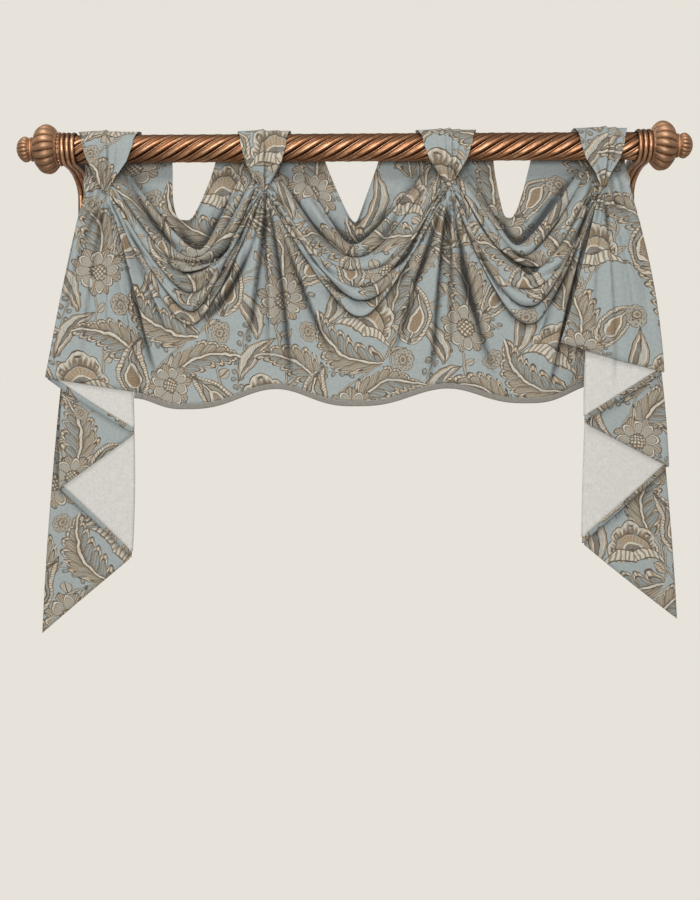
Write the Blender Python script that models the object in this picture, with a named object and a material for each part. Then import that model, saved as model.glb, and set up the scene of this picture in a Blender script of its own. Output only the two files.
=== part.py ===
"""A lined swag and tail drape on its rope-twist pole, in metres, +Z up.

The frame's origin is the middle of the left bracket's wall face. +X runs along the pole to the right,
+Y points into the wall. The cloth hangs in three swags between four gathers, each held up by a tapered tab
that goes over the pole, above a scalloped apron. A pleated tail falls in a zigzag at each end.

The drape's tables are in millimetres from the point MIDDLE on the pole's axis: x to the right, z up, and
depth towards the wall, so that a negative depth lies in front of the pole.
"""

import math
from collections import namedtuple

import bmesh
import bpy
import numpy as np

MM = 0.001

# Driving dimensions, metres
BRACKET_SPAN = 1.180  # between the middles of the two brackets
POLE_RADIUS = 0.0285
POLE_STANDOFF = 0.145  # wall to the pole's axis
POLE_RISE = 0.098  # the pole's axis above the middle of the wall face
POLE_ENDS = (-0.0155, BRACKET_SPAN + 0.0155)
GAP = 0.0003  # between pieces that meet
WELD = 0.00001  # points this close are one
MIDDLE = np.array([0.5755, -POLE_STANDOFF, POLE_RISE])

TWIST_LOBES = 8
TWIST_PITCH = 0.264
TWIST_GROOVE = 0.0036
TWIST_STEPS = 14  # sections in one turn of the twist

FINIAL_FLUTES = 16
FLUTE_DEPTH = 0.045  # as a share of the radius
COLLARS = {"left": 0.008, "right": 0.001}

STRAP_WIDTH = 0.031
STRAP_THICK = 0.0045
STRAP_REEDS = 3
LEG_HALF = 0.024  # half the height of the flat leg on the wall
REED_RISE = 0.0022

# Driving dimensions of the cloth, millimetres
FACE_THICK = 1.2
TAIL_THICK = 1.0
LINING_THICK = 1.0
LINING_GAP = 0.5
HEM_TURN = 13.0  # the face cloth's hem, which the lining leaves bare
BAND_WIDTH = 11.0
BAND_THICK = 2.0
CLOTH_BEHIND = 31.5  # depth of the cloth behind the pole
BEHIND_FROM = -20.0  # where the cloth leaves the pole's back, and where it is all in front:
BEHIND_TO_GATHER = -88.0  # at a gather, and
BEHIND_TO_OPEN = -150.0  # under a cut-out, OPEN_REACH from the gather
OPEN_REACH = 90.0
LOW_ROUND = 0.09  # how blunt a fold line is at its low point

ROWS_PER_ROLL = 3
APRON_ROWS = 5
HALF_COLUMNS = 9  # columns on each side of a swag's low point

# The four gathers, where a tab's point holds the panel: place on the pole, height, depth of the cloth there
Gather = namedtuple("Gather", "x z depth tab_depth")
GATHERS = (
    Gather(-495, -92, -36, -41),
    Gather(-175, -90, -20, -26),
    Gather(204, -82, -20, -26),
    Gather(514, -90, -8, -49),
)

# Each swag's fold lines from the cut-out's edge down. A line falls from its left end to its low point and
# rises to its right end. A pull near 1 draws that side straight, a larger one lets it belly. roll is how far
# the cloth between this line and the next one stands out.
Line = namedtuple("Line", "left left_z left_pull low low_z depth right right_z right_pull roll")
SWAGS = (
    (
        Line(-370, 0, 5.0, -336, -147, 8, -274, 0, 1.6, -12),
        Line(-490, 0, 1.2, -311, -217, -14, -204, 0, 1.3, 12),
        Line(-495, 0, 1.4, -318, -228, -26, -175, 0, 1.5, 17),
        Line(-478, -84, 1.1, -333, -252, -34, -193, -84, 2.0, 20),
        Line(-482, -88, 1.25, -321, -298, -42, -186, -88, 1.4, 17),
        Line(-487, -92, 1.25, -319, -335, -45, -181, -92, 1.15, 13),
        Line(-491, -97, 1.3, -322, -364, -42, -178, -97, 1.25, 0),
    ),
    (
        Line(-58, 0, 1.2, 12, -153, 8, 68, 0, 1.0, -12),
        Line(-120, 0, 1.35, 8, -211, -14, 190, 0, 1.2, 12),
        Line(-175, 0, 1.35, 11, -230, -27, 204, 0, 1.4, 17),
        Line(-158, -80, 1.65, 14, -252, -36, 186, -76, 2.1, 20),
        Line(-163, -85, 1.45, 14, -286, -43, 190, -80, 1.7, 17),
        Line(-168, -90, 1.3, 22, -315, -44, 195, -84, 1.5, 12),
        Line(-172, -95, 1.2, 20, -350, -41, 200, -89, 1.25, 0),
    ),
    (
        Line(299, 0, 3.0, 331, -146, 8, 383, 0, 1.4, -12),
        Line(222, 0, 1.2, 345, -213, -14, 509, 0, 1.1, 12),
        Line(204, 0, 1.25, 352, -229, -27, 514, 0, 1.3, 17),
        Line(221, -76, 1.75, 376, -250, -36, 496, -84, 1.15, 20),
        Line(216, -80, 1.8, 357, -292, -43, 500, -88, 1.7, 17),
        Line(212, -85, 1.6, 360, -330, -45, 505, -92, 1.4, 13),
        Line(208, -90, 1.5, 363, -367, -42, 510, -97, 1.25, 0),
    ),
)

# The apron's lower edge: a scallop under each swag
Scallop = namedtuple("Scallop", "left left_z low low_z right right_z depth")
SCALLOPS = (
    Scallop(-441, -504, -337, -527, -152, -487, -34),
    Scallop(-152, -487, 10, -523, 197, -488, -34),
    Scallop(197, -488, 360, -519, 508, -480, -34),
)
HEM_END_DEPTHS = (-34, -34, -34, -6)  # the lower edge's depth under each gather

# Furrows that fall from a gather through the apron
Furrow = namedtuple("Furrow", "top_x mid_x mid_z foot_x foot_z sink width")
FURROWS = (
    Furrow(-489, -456, -334, -427, -490, 12, 15),
    Furrow(-486, -440, -290, -404, -430, 14, 17),
    Furrow(-184, -231, -262, -300, -352, 13, 15),
    Furrow(-167, -140, -255, -120, -450, 16, 18),
    Furrow(-163, -95, -288, -50, -400, 14, 16),
    Furrow(197, 177, -288, 164, -440, 14, 17),
    Furrow(190, 126, -296, 98, -390, 13, 16),
    Furrow(212, 246, -282, 282, -430, 15, 17),
    Furrow(503, 461, -255, 414, -450, 12, 15),
)
FURROW_TOP = -110
SPINE_RISES = (0, 0, 0, 9, 4, -1, -6)  # where each gathered line meets the gather's middle, above its height

# The tabs: widths and middles on the way from the pole's back, over its top and down to the point
Tab = namedtuple("Tab", "back_x back_w top_x top_w front_x front_w low_x low_w tip_x tip_w lift")
TABS = (
    Tab(-490, 116, -493, 130, -493, 80, -495, 44, -495, 14, 3),
    Tab(-176, 112, -175, 110, -175, 76, -176, 44, -174, 13, 3),
    Tab(200, 112, 199, 126, 201, 76, 202, 40, 203, 14, 3),
    Tab(506, 110, 517, 112, 516, 70, 514, 32, 512, 13, 5),
)
TAB_CLEAR = 31.5  # the tab's radius round the pole
TAB_CREASE = 1.6  # step of the pleat down a tab's middle

# Each tail's fold lines from its inner edge to its outer one: place behind the pole, at the gather, half way
# and at the hem, then the layer's depth at the gather and at the hem (the layer that starts at this line)
Fold = namedtuple("Fold", "top_x gather_x mid_x mid_z foot_x foot_z depth_high depth_low")
TAILS = {
    "left": (
        Fold(-498, -498, -466, -290, -430, -503, -24, -22),
        Fold(-553, -543, -587, -288, -625, -471, -18, -14),
        Fold(-500, -500, -462, -330, -446, -587, -12, -6),
        Fold(-537, -541, -594, -492, -602, -699, -6, 2),
        Fold(-500, -501, -452, -500, -455, -842, 0, 10),
        Fold(-536, -543, -606, -560, -641, -998, 0, 10),
    ),
    "right": (
        Fold(517, 506, 457, -294, 422, -409, -40, -62),
        Fold(576, 569, 611, -284, 631, -470, -34, -53),
        Fold(519, 518, 484, -330, 472, -569, -28, -44),
        Fold(553, 564, 632, -480, 644, -661, -22, -35),
        Fold(519, 519, 482, -500, 469, -815, -16, -26),
        Fold(552, 563, 648, -740, 662, -971, -16, -26),
    ),
}
TAIL_TOP = -18.0  # the tails' top edge, behind the pole
TAIL_HIGH_ROWS = (TAIL_TOP, -36.0, -54.0, -72.0)
TAIL_GATHER = -92.0
TAIL_BEHIND = 34.0  # depth of the first layer behind the pole
TAIL_BEHIND_STEP = 8.0
TAIL_ROWS = 7
LINING_FROM_ROW = len(TAIL_HIGH_ROWS) + 1  # the lining starts under the gather
TURN_POINTS = 1  # between the two ends of the turn round a fold
LAYER_POINTS = 2  # steps across each layer


def clear_scene():
    for thing in list(bpy.data.objects):
        bpy.data.objects.remove(thing, do_unlink=True)


def material(name, colour, roughness, metallic=0.0):
    made = bpy.data.materials.new(name)
    made.use_nodes = True
    shader = made.node_tree.nodes["Principled BSDF"]
    shader.inputs["Base Color"].default_value = (*colour, 1.0)
    shader.inputs["Roughness"].default_value = roughness
    shader.inputs["Metallic"].default_value = metallic
    return made


def mesh_object(name, points, faces, finish, smooth_angle=math.radians(40)):
    mesh = bpy.data.meshes.new(name)
    mesh.from_pydata([tuple(p) for p in points], [], faces)
    mesh.materials.append(finish)
    work = bmesh.new()
    work.from_mesh(mesh)
    bmesh.ops.remove_doubles(work, verts=work.verts, dist=WELD)
    bmesh.ops.recalc_face_normals(work, faces=work.faces)
    work.to_mesh(mesh)
    work.free()
    made = bpy.data.objects.new(name, mesh)
    bpy.context.collection.objects.link(made)
    mesh.shade_smooth()
    mesh.set_sharp_from_angle(angle=smooth_angle)
    return made


def smooth(x):
    x = np.clip(x, 0.0, 1.0)
    return x * x * (3.0 - 2.0 * x)


def loft(name, rings, finish, smooth_angle=math.radians(40)):
    """A closed body through rings of equal length, with a flat cap at each end."""
    count = len(rings[0])
    points = np.concatenate(rings)
    faces = [tuple(range(count))[::-1]]
    for ring in range(len(rings) - 1):
        base = ring * count
        for k in range(count):
            after = (k + 1) % count
            faces.append((base + k, base + after, base + count + after, base + count + k))
    faces.append(tuple(range((len(rings) - 1) * count, len(rings) * count)))
    return mesh_object(name, points, faces, finish, smooth_angle)


def pole(finish):
    """Rope-twist rod: a ring of ridges and grooves that turns as it goes along."""
    start, end = POLE_ENDS
    sections = math.ceil((end - start) / TWIST_PITCH * TWIST_STEPS)
    lobes = np.arange(2 * TWIST_LOBES)
    radii = np.where(lobes % 2 == 0, POLE_RADIUS, POLE_RADIUS - TWIST_GROOVE)
    rings = []
    for x in np.linspace(start, end, sections + 1):
        angle = 2 * math.pi * (x / TWIST_PITCH + lobes / len(lobes))
        rings.append(np.stack([np.full(len(lobes), x), -radii * np.cos(angle), radii * np.sin(angle)], axis=1))
    made = loft("pole", rings, finish)
    made.location = (0, -POLE_STANDOFF, POLE_RISE)
    return made


def finial_profile(side):
    """(distance out from the ball's middle, radius, fluted) down the finial, in millimetres."""
    ball_half, ball_radius = 31.0, 50.5
    collar = COLLARS[side] / MM
    rows = [(-22.7 - collar, 33.5, False), (-22.7, 33.5, False)]
    for out in (-20, -13, -5, 5, 14, 21, 26):
        rows.append((out, ball_radius * math.sqrt(1 - (out / ball_half) ** 2), True))
    rows += [(28, 22.5, False), (32.5, 24, False), (34.5, 19.5, False), (37, 23.5, True)]
    rows += [(45, 25.5, True), (54, 21.5, True), (60, 13, True), (63, 4, False)]
    return rows


def finial(side, finish):
    count = 2 * FINIAL_FLUTES
    angle = 2 * math.pi * np.arange(count) / count
    hollow = 1.0 - FLUTE_DEPTH * (np.arange(count) % 2)
    rings = []
    for out, radius, fluted in finial_profile(side):
        radii = radius * MM * (hollow if fluted else np.ones(count))
        rings.append(np.stack([np.full(count, out * MM), -radii * np.cos(angle), radii * np.sin(angle)], axis=1))
    made = loft(f"finial_{side}", rings, finish)
    reach = (22.7 + COLLARS[side] / MM) * MM + GAP
    if side == "left":
        made.rotation_euler = (0, 0, math.pi)
        made.location = (POLE_ENDS[0] - reach, -POLE_STANDOFF, POLE_RISE)
    else:
        made.location = (POLE_ENDS[1] + reach, -POLE_STANDOFF, POLE_RISE)
    return made


def strap_path():
    """Middle line of the strap, as (towards the wall, up, direction) from the pole's axis in metres."""
    radius = POLE_RADIUS + 0.001 + STRAP_THICK / 2
    path = []
    for degrees in np.linspace(125, -90, 13):
        turn = math.radians(degrees)
        path.append((-radius * math.cos(turn), radius * math.sin(turn)))
    leg = POLE_STANDOFF - STRAP_THICK / 2
    path += [(0.022, -0.0315), (0.052, -0.031), (0.085, -0.0345), (0.113, -0.042), (0.132, -0.052)]
    path += [(leg, -0.066), (leg, -POLE_RISE + LEG_HALF), (leg, -POLE_RISE - LEG_HALF)]
    return np.array(path)


def strap_section():
    """Outline of the strap: flat inside, a row of reeds outside, as (across, outwards)."""
    outside = []
    for k in range(2 * STRAP_REEDS + 1):
        across = STRAP_WIDTH * (k / (2 * STRAP_REEDS) - 0.5)
        outside.append((across, STRAP_THICK / 2 - (0 if k % 2 else REED_RISE)))
    return outside + [(STRAP_WIDTH / 2, -STRAP_THICK / 2), (-STRAP_WIDTH / 2, -STRAP_THICK / 2)]


def bracket(side, finish):
    path = strap_path()
    heading = np.gradient(path, axis=0)
    heading[-1] = heading[-2] = (0, -1)
    heading /= np.linalg.norm(heading, axis=1)[:, None]
    section = strap_section()
    rings = []
    for (y, z), (dy, dz) in zip(path, heading):
        rings.append(np.array([(across, y + dz * out, z - dy * out) for across, out in section]))
    made = loft(f"bracket_{side}", rings[::-1], finish)
    made.location = (0 if side == "left" else BRACKET_SPAN, -POLE_STANDOFF, POLE_RISE)
    return made


def sheet(name, points, faces, thick, finish):
    """A cloth of even thickness about a surface given in millimetres from MIDDLE."""
    made = mesh_object(name, MIDDLE + np.asarray(points) * MM, faces, finish, math.radians(60))
    solidify = made.modifiers.new("thickness", "SOLIDIFY")
    solidify.thickness = thick * MM
    solidify.offset = 0.0
    return made


def grid_faces(rows, columns, first=0):
    """Quads of a grid whose points run along each row, seen from the room."""
    faces = []
    for r in range(rows - 1):
        for c in range(columns - 1):
            corner = first + r * columns + c
            faces.append((corner, corner + columns, corner + columns + 1, corner + 1))
    return faces


def even_samples(curve, count):
    """count points spaced evenly along a polyline."""
    steps = np.linalg.norm(np.diff(curve, axis=0), axis=1)
    along = np.concatenate([[0.0], np.cumsum(steps)])
    wanted = np.linspace(0.0, along[-1], count)
    return np.stack([np.interp(wanted, along, curve[:, k]) for k in range(curve.shape[1])], axis=1)


def half_line(low, low_z, depth, end, end_z, pull, spine, end_depth):
    """One side of a fold line, from its low point to its end and on to the gather's spine point."""
    t = np.linspace(0.0, 1.0, 60)
    blunt = (np.hypot(t, LOW_ROUND) - LOW_ROUND) / (math.hypot(1, LOW_ROUND) - LOW_ROUND)
    x = low + (end - low) * t
    z = low_z + (end_z - low_z) * blunt**pull
    y = depth + (end_depth - depth) * t**2
    curve = np.stack([x, y, z], axis=1)
    if spine is not None:
        curve = np.vstack([curve, [spine[0], end_depth, spine[1]]])
    return even_samples(curve, HALF_COLUMNS + 1)


def scallop_line(scallop, left_depth, right_depth):
    """The apron's lower edge under one swag, level at its low point and at the gathers."""
    halves = []
    ends = ((scallop.left, scallop.left_z, left_depth), (scallop.right, scallop.right_z, right_depth))
    for end, end_z, end_depth in ends:
        t = np.linspace(0.0, 1.0, 60)
        wave = (1 - np.cos(math.pi * t)) / 2
        x = scallop.low + (end - scallop.low) * t
        z = scallop.low_z + (end_z - scallop.low_z) * wave
        y = scallop.depth + (end_depth - scallop.depth) * wave
        halves.append(even_samples(np.stack([x, y, z], axis=1), HALF_COLUMNS + 1))
    return np.vstack([halves[0][::-1], halves[1][1:]])


def swag_lines(index):
    """The fold lines of one swag as rows of points, from the cut-out's edge to the scallop."""
    left, right = GATHERS[index], GATHERS[index + 1]
    rows = []
    for line, rise in zip(SWAGS[index], SPINE_RISES):
        halves = []
        ends = ((line.left, line.left_z, line.left_pull, left), (line.right, line.right_z, line.right_pull, right))
        for end, end_z, pull, gather in ends:
            spine = (gather.x, gather.z + rise) if end_z < 0 else None
            halves.append(half_line(line.low, line.low_z, line.depth, end, end_z, pull, spine, gather.depth))
        rows.append(np.vstack([halves[0][::-1], halves[1][1:]]))
    rows.append(scallop_line(SCALLOPS[index], HEM_END_DEPTHS[index], HEM_END_DEPTHS[index + 1]))
    return rows


def behind_pole(points):
    """Takes the panel back behind the pole where it rises to it."""
    from_gather = np.min([np.abs(points[..., 0] - gather.x) for gather in GATHERS], axis=0)
    front = BEHIND_TO_GATHER + (BEHIND_TO_OPEN - BEHIND_TO_GATHER) * smooth(from_gather / OPEN_REACH)
    share = smooth((points[..., 2] - front) / (BEHIND_FROM - front))
    points[..., 1] += (CLOTH_BEHIND - points[..., 1]) * share
    return points


def furrows(points, strength):
    """Sinks the apron along the furrows that fall from the gathers."""
    x, z = points[..., 0], points[..., 2]
    for furrow in FURROWS:
        heights = (FURROW_TOP, furrow.mid_z, furrow.foot_z)
        bend = np.polyfit(heights, (furrow.top_x, furrow.mid_x, furrow.foot_x), 2)
        drop = (z - FURROW_TOP) / (furrow.foot_z - FURROW_TOP)
        fade = smooth(drop * 4) * smooth((1.25 - drop) * 3)
        across = (x - np.polyval(bend, z)) / (furrow.width * (0.45 + 0.7 * np.clip(drop, 0, 1)))
        points[..., 1] += strength * fade * furrow.sink * np.exp(-(across**2))
    return points


def swag_surface(index):
    """Rows of points over one swag: rolls between the fold lines, then the apron."""
    lines = swag_lines(index)
    rolls = [line.roll for line in SWAGS[index]]
    rows = []
    fullness = 1 - np.abs(np.linspace(-1, 1, 2 * HALF_COLUMNS + 1)) ** 6
    for upper, lower, roll in zip(lines[:-1], lines[1:], rolls):
        apron = lower is lines[-1]
        steps = APRON_ROWS if apron else ROWS_PER_ROLL
        spread = np.linalg.norm((lower - upper)[:, [0, 2]], axis=1)
        for step in range(steps):
            share = step / steps
            row = upper + (lower - upper) * share
            row[:, 1] -= roll * fullness * np.minimum(1.0, spread / 30.0) * math.sin(math.pi * share) ** 0.8
            rows.append(furrows(row, share) if apron else row)
    rows.append(furrows(lines[-1].copy(), 1.0))
    return behind_pole(np.array(rows))


def swag_panel(finish):
    points, faces = [], []
    for index in range(len(SWAGS)):
        surface = swag_surface(index)
        faces += grid_faces(*surface.shape[:2], first=len(points))
        points += list(surface.reshape(-1, 3))
    return sheet("swag_panel", points, faces, FACE_THICK, finish)


def hem_band(finish):
    """The contrast band that binds the apron's lower edge."""
    edge = [swag_surface(index)[-1] for index in range(len(SWAGS))]
    line = np.vstack([edge[0], edge[1][1:], edge[2][1:]])
    top = line - [0, 0, GAP / MM]
    foot = top - [0, 0, BAND_WIDTH]
    rows = np.array([top, foot])
    return sheet("hem_band", rows.reshape(-1, 3), grid_faces(2, len(line)), BAND_THICK, finish)


def tab_route(tab, gather):
    """Stations down the tab as (middle, width, depth, height), from behind the pole to the point."""
    route = [(tab.back_x, tab.back_w, TAB_CLEAR, GAP / MM)]
    for degrees in (160, 125, 90, 55, 20):
        turn = math.radians(degrees)
        over = (180 - degrees) / 160
        middle = np.interp(over, (0, 0.55, 1), (tab.back_x, tab.top_x, tab.front_x))
        width = np.interp(over, (0, 0.55, 1), (tab.back_w, tab.top_w, 0.5 * (tab.top_w + tab.front_w)))
        radius = TAB_CLEAR + tab.lift * math.sin(turn) ** 4
        route.append((middle, width, -radius * math.cos(turn), radius * math.sin(turn)))
    route.append((tab.front_x, 0.86 * tab.front_w + 0.14 * tab.top_w, -TAB_CLEAR - 1, -10))
    route.append((tab.front_x, tab.front_w, -TAB_CLEAR - 1.5, -33))
    low_z = 0.45 * -33 + 0.55 * gather.z
    route.append((tab.low_x, tab.low_w, 0.4 * (-TAB_CLEAR - 2) + 0.6 * gather.tab_depth, low_z))
    route.append((tab.tip_x, tab.tip_w, gather.tab_depth, gather.z + 2))
    route.append((tab.tip_x, tab.tip_w * 0.6, gather.tab_depth + 0.5, gather.z - 4))
    return route


def tab_piece(number, finish):
    """A tapered strip over the pole, with one pleat pressed down its middle."""
    tab, gather = TABS[number], GATHERS[number]
    across = np.array([-0.5, -0.3, -0.1, 0.02, 0.12, 0.3, 0.5])
    crease = TAB_CREASE * np.array([0.0, 0.4, 1.0, 1.0, -0.3, 0.0, 0.0])
    rows = []
    for middle, width, depth, height in tab_route(tab, gather):
        outward = math.atan2(height, -depth) if height > 0 else 0.0
        lift = crease * min(1.0, width / 60)
        x = middle + across * width
        y = depth - lift * math.cos(outward)
        z = height + lift * math.sin(outward)
        rows.append(np.stack([x, y, np.broadcast_to(z, x.shape)], axis=1))
    points = np.array(rows)
    return sheet(f"tab_{number + 1}", points.reshape(-1, 3), grid_faces(*points.shape[:2]), FACE_THICK, finish)


def fold_x(fold, z):
    """Where a tail's fold line lies at a height."""
    bend = np.polyfit((TAIL_GATHER, fold.mid_z, fold.foot_z), (fold.gather_x, fold.mid_x, fold.foot_x), 2)
    below = np.polyval(bend, z)
    above = np.interp(z, (TAIL_GATHER, TAIL_TOP), (fold.gather_x, fold.top_x))
    return np.where(z < TAIL_GATHER, below, above)


def tail_columns(folds):
    """Stops across the tail as (layer, share of the layer, turn, distance in from a free edge).

    turn runs from -90 to 90 degrees round a fold. The hem's inner edge has stops of its own.
    """
    last = len(folds) - 2
    stops = [(0, 0.0, None, 0.0), (0, 0.0, None, HEM_TURN)]
    for layer in range(last + 1):
        for k in range(1, LAYER_POINTS):
            stops.append((layer, k / LAYER_POINTS, None, 0.0))
        if layer < last:
            for turn in np.linspace(-90, 90, TURN_POINTS + 2):
                stops.append((layer, 1.0, math.radians(turn), 0.0))
    return stops + [(last, 1.0, None, HEM_TURN), (last, 1.0, None, 0.0)]


def layer_depth(fold, number, z, foot_z):
    """Depth of a layer: behind the pole at the top, then forward, then spread towards the hem."""
    low = smooth((TAIL_GATHER - z) / (TAIL_GATHER - foot_z))
    front = fold.depth_high + (fold.depth_low - fold.depth_high) * low
    share = smooth((z - BEHIND_TO_GATHER) / (BEHIND_FROM - BEHIND_TO_GATHER))
    return front + (TAIL_BEHIND + TAIL_BEHIND_STEP * number - front) * share


def tail_surface(side):
    """Rows of points over a tail, pleated back and forth between its fold lines."""
    folds = TAILS[side]
    columns = []
    for layer, share, turn, inset in tail_columns(folds):
        here, after = folds[layer], folds[layer + 1]
        foot_z = here.foot_z + (after.foot_z - here.foot_z) * share
        z = np.concatenate([TAIL_HIGH_ROWS, np.linspace(TAIL_GATHER, foot_z + HEM_TURN, TAIL_ROWS), [foot_z]])
        start, end = fold_x(here, z), fold_x(after, z)
        depth = layer_depth(here, layer, z, foot_z)
        back = np.sign(start - end)  # from the far fold towards the near one
        if turn is None:
            x = start + (end - start) * share + (back if share > 0.5 else -back) * inset
            y = depth
        else:
            radius = (layer_depth(after, layer + 1, z, foot_z) - depth) / 2
            x = end + back * radius * (1 - math.cos(turn))
            y = depth + radius * (1 + math.sin(turn))
        columns.append(np.stack([x, y, z], axis=1))
    return np.stack(columns, axis=1)


def surface_normals(surface):
    """Unit normals of a grid of points, turned to the lining's side."""
    along = np.gradient(surface, axis=0)
    across = np.gradient(surface, axis=1)
    normals = np.cross(along, across)
    normals /= np.linalg.norm(normals, axis=-1, keepdims=True)
    return normals * np.sign(normals[0, 0, 1])


def tail(side, finish):
    surface = tail_surface(side)
    return sheet(f"tail_{side}", surface.reshape(-1, 3), grid_faces(*surface.shape[:2]), TAIL_THICK, finish)


def tail_lining(side, finish):
    """The lining, laid on the tail's back and short of its edges by the turned hem."""
    surface = tail_surface(side)
    apart = (TAIL_THICK + LINING_THICK) / 2 + LINING_GAP
    lining = (surface + surface_normals(surface) * apart)[LINING_FROM_ROW:-1, 1:-1]
    faces = grid_faces(*lining.shape[:2])
    return sheet(f"tail_{side}_lining", lining.reshape(-1, 3), faces, LINING_THICK, finish)


def build():
    clear_scene()
    copper = material("twisted antique copper", (0.34, 0.13, 0.055), 0.32, 1.0)
    bronze = material("brushed bronze finial", (0.28, 0.15, 0.085), 0.48, 1.0)
    printed = material("printed blue-grey cotton", (0.34, 0.40, 0.42), 0.85)
    taupe = material("taupe binding", (0.24, 0.21, 0.19), 0.85)
    linen = material("natural linen lining", (0.66, 0.64, 0.60), 0.9)
    pole(copper)
    for side in ("left", "right"):
        finial(side, bronze)
        bracket(side, copper)
        tail(side, printed)
        tail_lining(side, linen)
    swag_panel(printed)
    hem_band(taupe)
    for number in range(len(TABS)):
        tab_piece(number, printed)


build()
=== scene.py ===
# Swag and tail drape on its rope-twist pole: the looks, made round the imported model
import math
from collections import namedtuple
from functools import partialmethod

import bmesh
import bpy
import numpy as np
from mathutils import Matrix, Vector, noise


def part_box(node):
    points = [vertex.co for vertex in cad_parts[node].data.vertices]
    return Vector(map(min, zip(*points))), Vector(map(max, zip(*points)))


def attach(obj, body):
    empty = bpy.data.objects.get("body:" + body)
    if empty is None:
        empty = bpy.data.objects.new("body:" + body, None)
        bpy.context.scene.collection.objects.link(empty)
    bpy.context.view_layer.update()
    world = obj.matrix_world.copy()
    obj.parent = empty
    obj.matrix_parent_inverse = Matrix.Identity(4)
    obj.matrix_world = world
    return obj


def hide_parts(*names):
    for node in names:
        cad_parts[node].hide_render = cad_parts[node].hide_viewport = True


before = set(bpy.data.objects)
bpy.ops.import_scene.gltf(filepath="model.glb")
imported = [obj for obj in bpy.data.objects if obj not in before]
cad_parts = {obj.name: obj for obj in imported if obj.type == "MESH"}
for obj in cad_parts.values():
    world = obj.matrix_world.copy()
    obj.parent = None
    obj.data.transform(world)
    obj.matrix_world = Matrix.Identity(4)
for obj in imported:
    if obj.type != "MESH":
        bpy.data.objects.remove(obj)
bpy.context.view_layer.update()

mm = 0.001
poleLow, poleHigh = (np.array(corner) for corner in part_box("pole"))
poleAxis = (poleLow + poleHigh) / 2
axisY, axisZ = poleAxis[1:]
# every cloth table is in millimetres from here: x right, z up, depth towards the wall
drapeMiddle = np.array([0.5755, axisY, axisZ])


class Wire:
    # a socket that takes part in sums: each operator adds a Math node
    def __init__(self, finish, socket):
        self.finish = finish
        self.socket = socket

    def maths(self, operation, *others):
        return self.finish.node("ShaderNodeMath", {"operation": operation}, dict(enumerate((self, *others))))

    def reflected(self, operation, other):
        return self.finish.node("ShaderNodeMath", {"operation": operation}, {0: other, 1: self})

    def rising(self, low, high):
        # 0 below low, 1 above high, and a smooth step between
        sockets = {0: self, 1: low, 2: high, 3: 0.0, 4: 1.0}
        return self.finish.node("ShaderNodeMapRange", {"interpolation_type": "SMOOTHSTEP"}, sockets)

    __add__ = __radd__ = partialmethod(maths, "ADD")
    __mul__ = __rmul__ = partialmethod(maths, "MULTIPLY")
    __sub__ = partialmethod(maths, "SUBTRACT")
    __rsub__ = partialmethod(reflected, "SUBTRACT")
    __truediv__ = partialmethod(maths, "DIVIDE")
    __rtruediv__ = partialmethod(reflected, "DIVIDE")
    __pow__ = partialmethod(maths, "POWER")
    __lt__ = partialmethod(maths, "LESS_THAN")
    __gt__ = partialmethod(maths, "GREATER_THAN")
    __neg__ = partialmethod(maths, "MULTIPLY", -1.0)
    __abs__ = partialmethod(maths, "ABSOLUTE")
    min = partialmethod(maths, "MINIMUM")
    max = partialmethod(maths, "MAXIMUM")
    sin = partialmethod(maths, "SINE")
    cos = partialmethod(maths, "COSINE")
    angle = partialmethod(maths, "ARCTAN2")
    fract = partialmethod(maths, "FRACT")
    root = partialmethod(maths, "SQRT")
    wrap = partialmethod(maths, "WRAP")


class Finish:
    # one material and its nodes
    def __init__(self, name, **sockets):
        self.material = bpy.data.materials.new(name)
        self.material.use_nodes = True
        self.tree = self.material.node_tree
        self.shader = self.tree.nodes["Principled BSDF"]
        self.set(**sockets)

    def node(self, kind, settings, sockets, output=0):
        made = self.tree.nodes.new(kind)
        for setting, value in settings.items():
            setattr(made, setting, value)
        for key, value in sockets.items():
            self.plug(made.inputs[key], value)
        return Wire(self, made.outputs[output])

    def plug(self, socket, value):
        if isinstance(value, Wire):
            self.tree.links.new(value.socket, socket)
        elif isinstance(value, (int, float)) and socket.type in ("RGBA", "VECTOR"):
            socket.default_value = [value] * len(socket.default_value)
        elif socket.type == "RGBA":
            socket.default_value = (*value, 1.0)
        else:
            socket.default_value = value

    def set(self, **sockets):
        # socket names with their spaces left out
        for name, value in sockets.items():
            socket = next(s for s in self.shader.inputs if s.name.replace(" ", "") == name)
            self.plug(socket, value)

    def vector(self, operation, *others, output=0):
        return self.node("ShaderNodeVectorMath", {"operation": operation}, dict(enumerate(others)), output)

    def parts(self, vector):
        split = self.node("ShaderNodeSeparateXYZ", {}, {0: vector})
        outputs = split.socket.node.outputs
        return [Wire(self, outputs[k]) for k in range(3)]

    def blend(self, share, a, b):
        # colours, plain colour tuples or the names of inks; share 0 gives a
        a, b = (inks[colour] if isinstance(colour, str) else colour for colour in (a, b))
        return self.node("ShaderNodeMix", {"data_type": "RGBA"}, {0: share, 6: a, 7: b}, 2)

    def coated(self, colour, *coats):
        # lays each coat, a mask and its colour, over the ones before it
        for mask, coat in coats:
            colour = self.blend(mask, colour, coat)
        return colour

    def pick(self, share, a, b):
        return self.node("ShaderNodeMix", {"data_type": "VECTOR"}, {0: share, 4: a, 5: b}, 1)

    def coordinates(self, name):
        return self.node("ShaderNodeTexCoord", {}, {}, name)

    def noise(self, place, scale, detail=2.0, roughness=0.5, output=0):
        sockets = {"Vector": place, "Scale": scale, "Detail": detail, "Roughness": roughness}
        return self.node("ShaderNodeTexNoise", {}, sockets, output)

    def bump(self, height, strength, distance):
        made = self.node("ShaderNodeBump", {}, {"Height": height, "Strength": strength, "Distance": distance})
        self.set(Normal=made)


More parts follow.
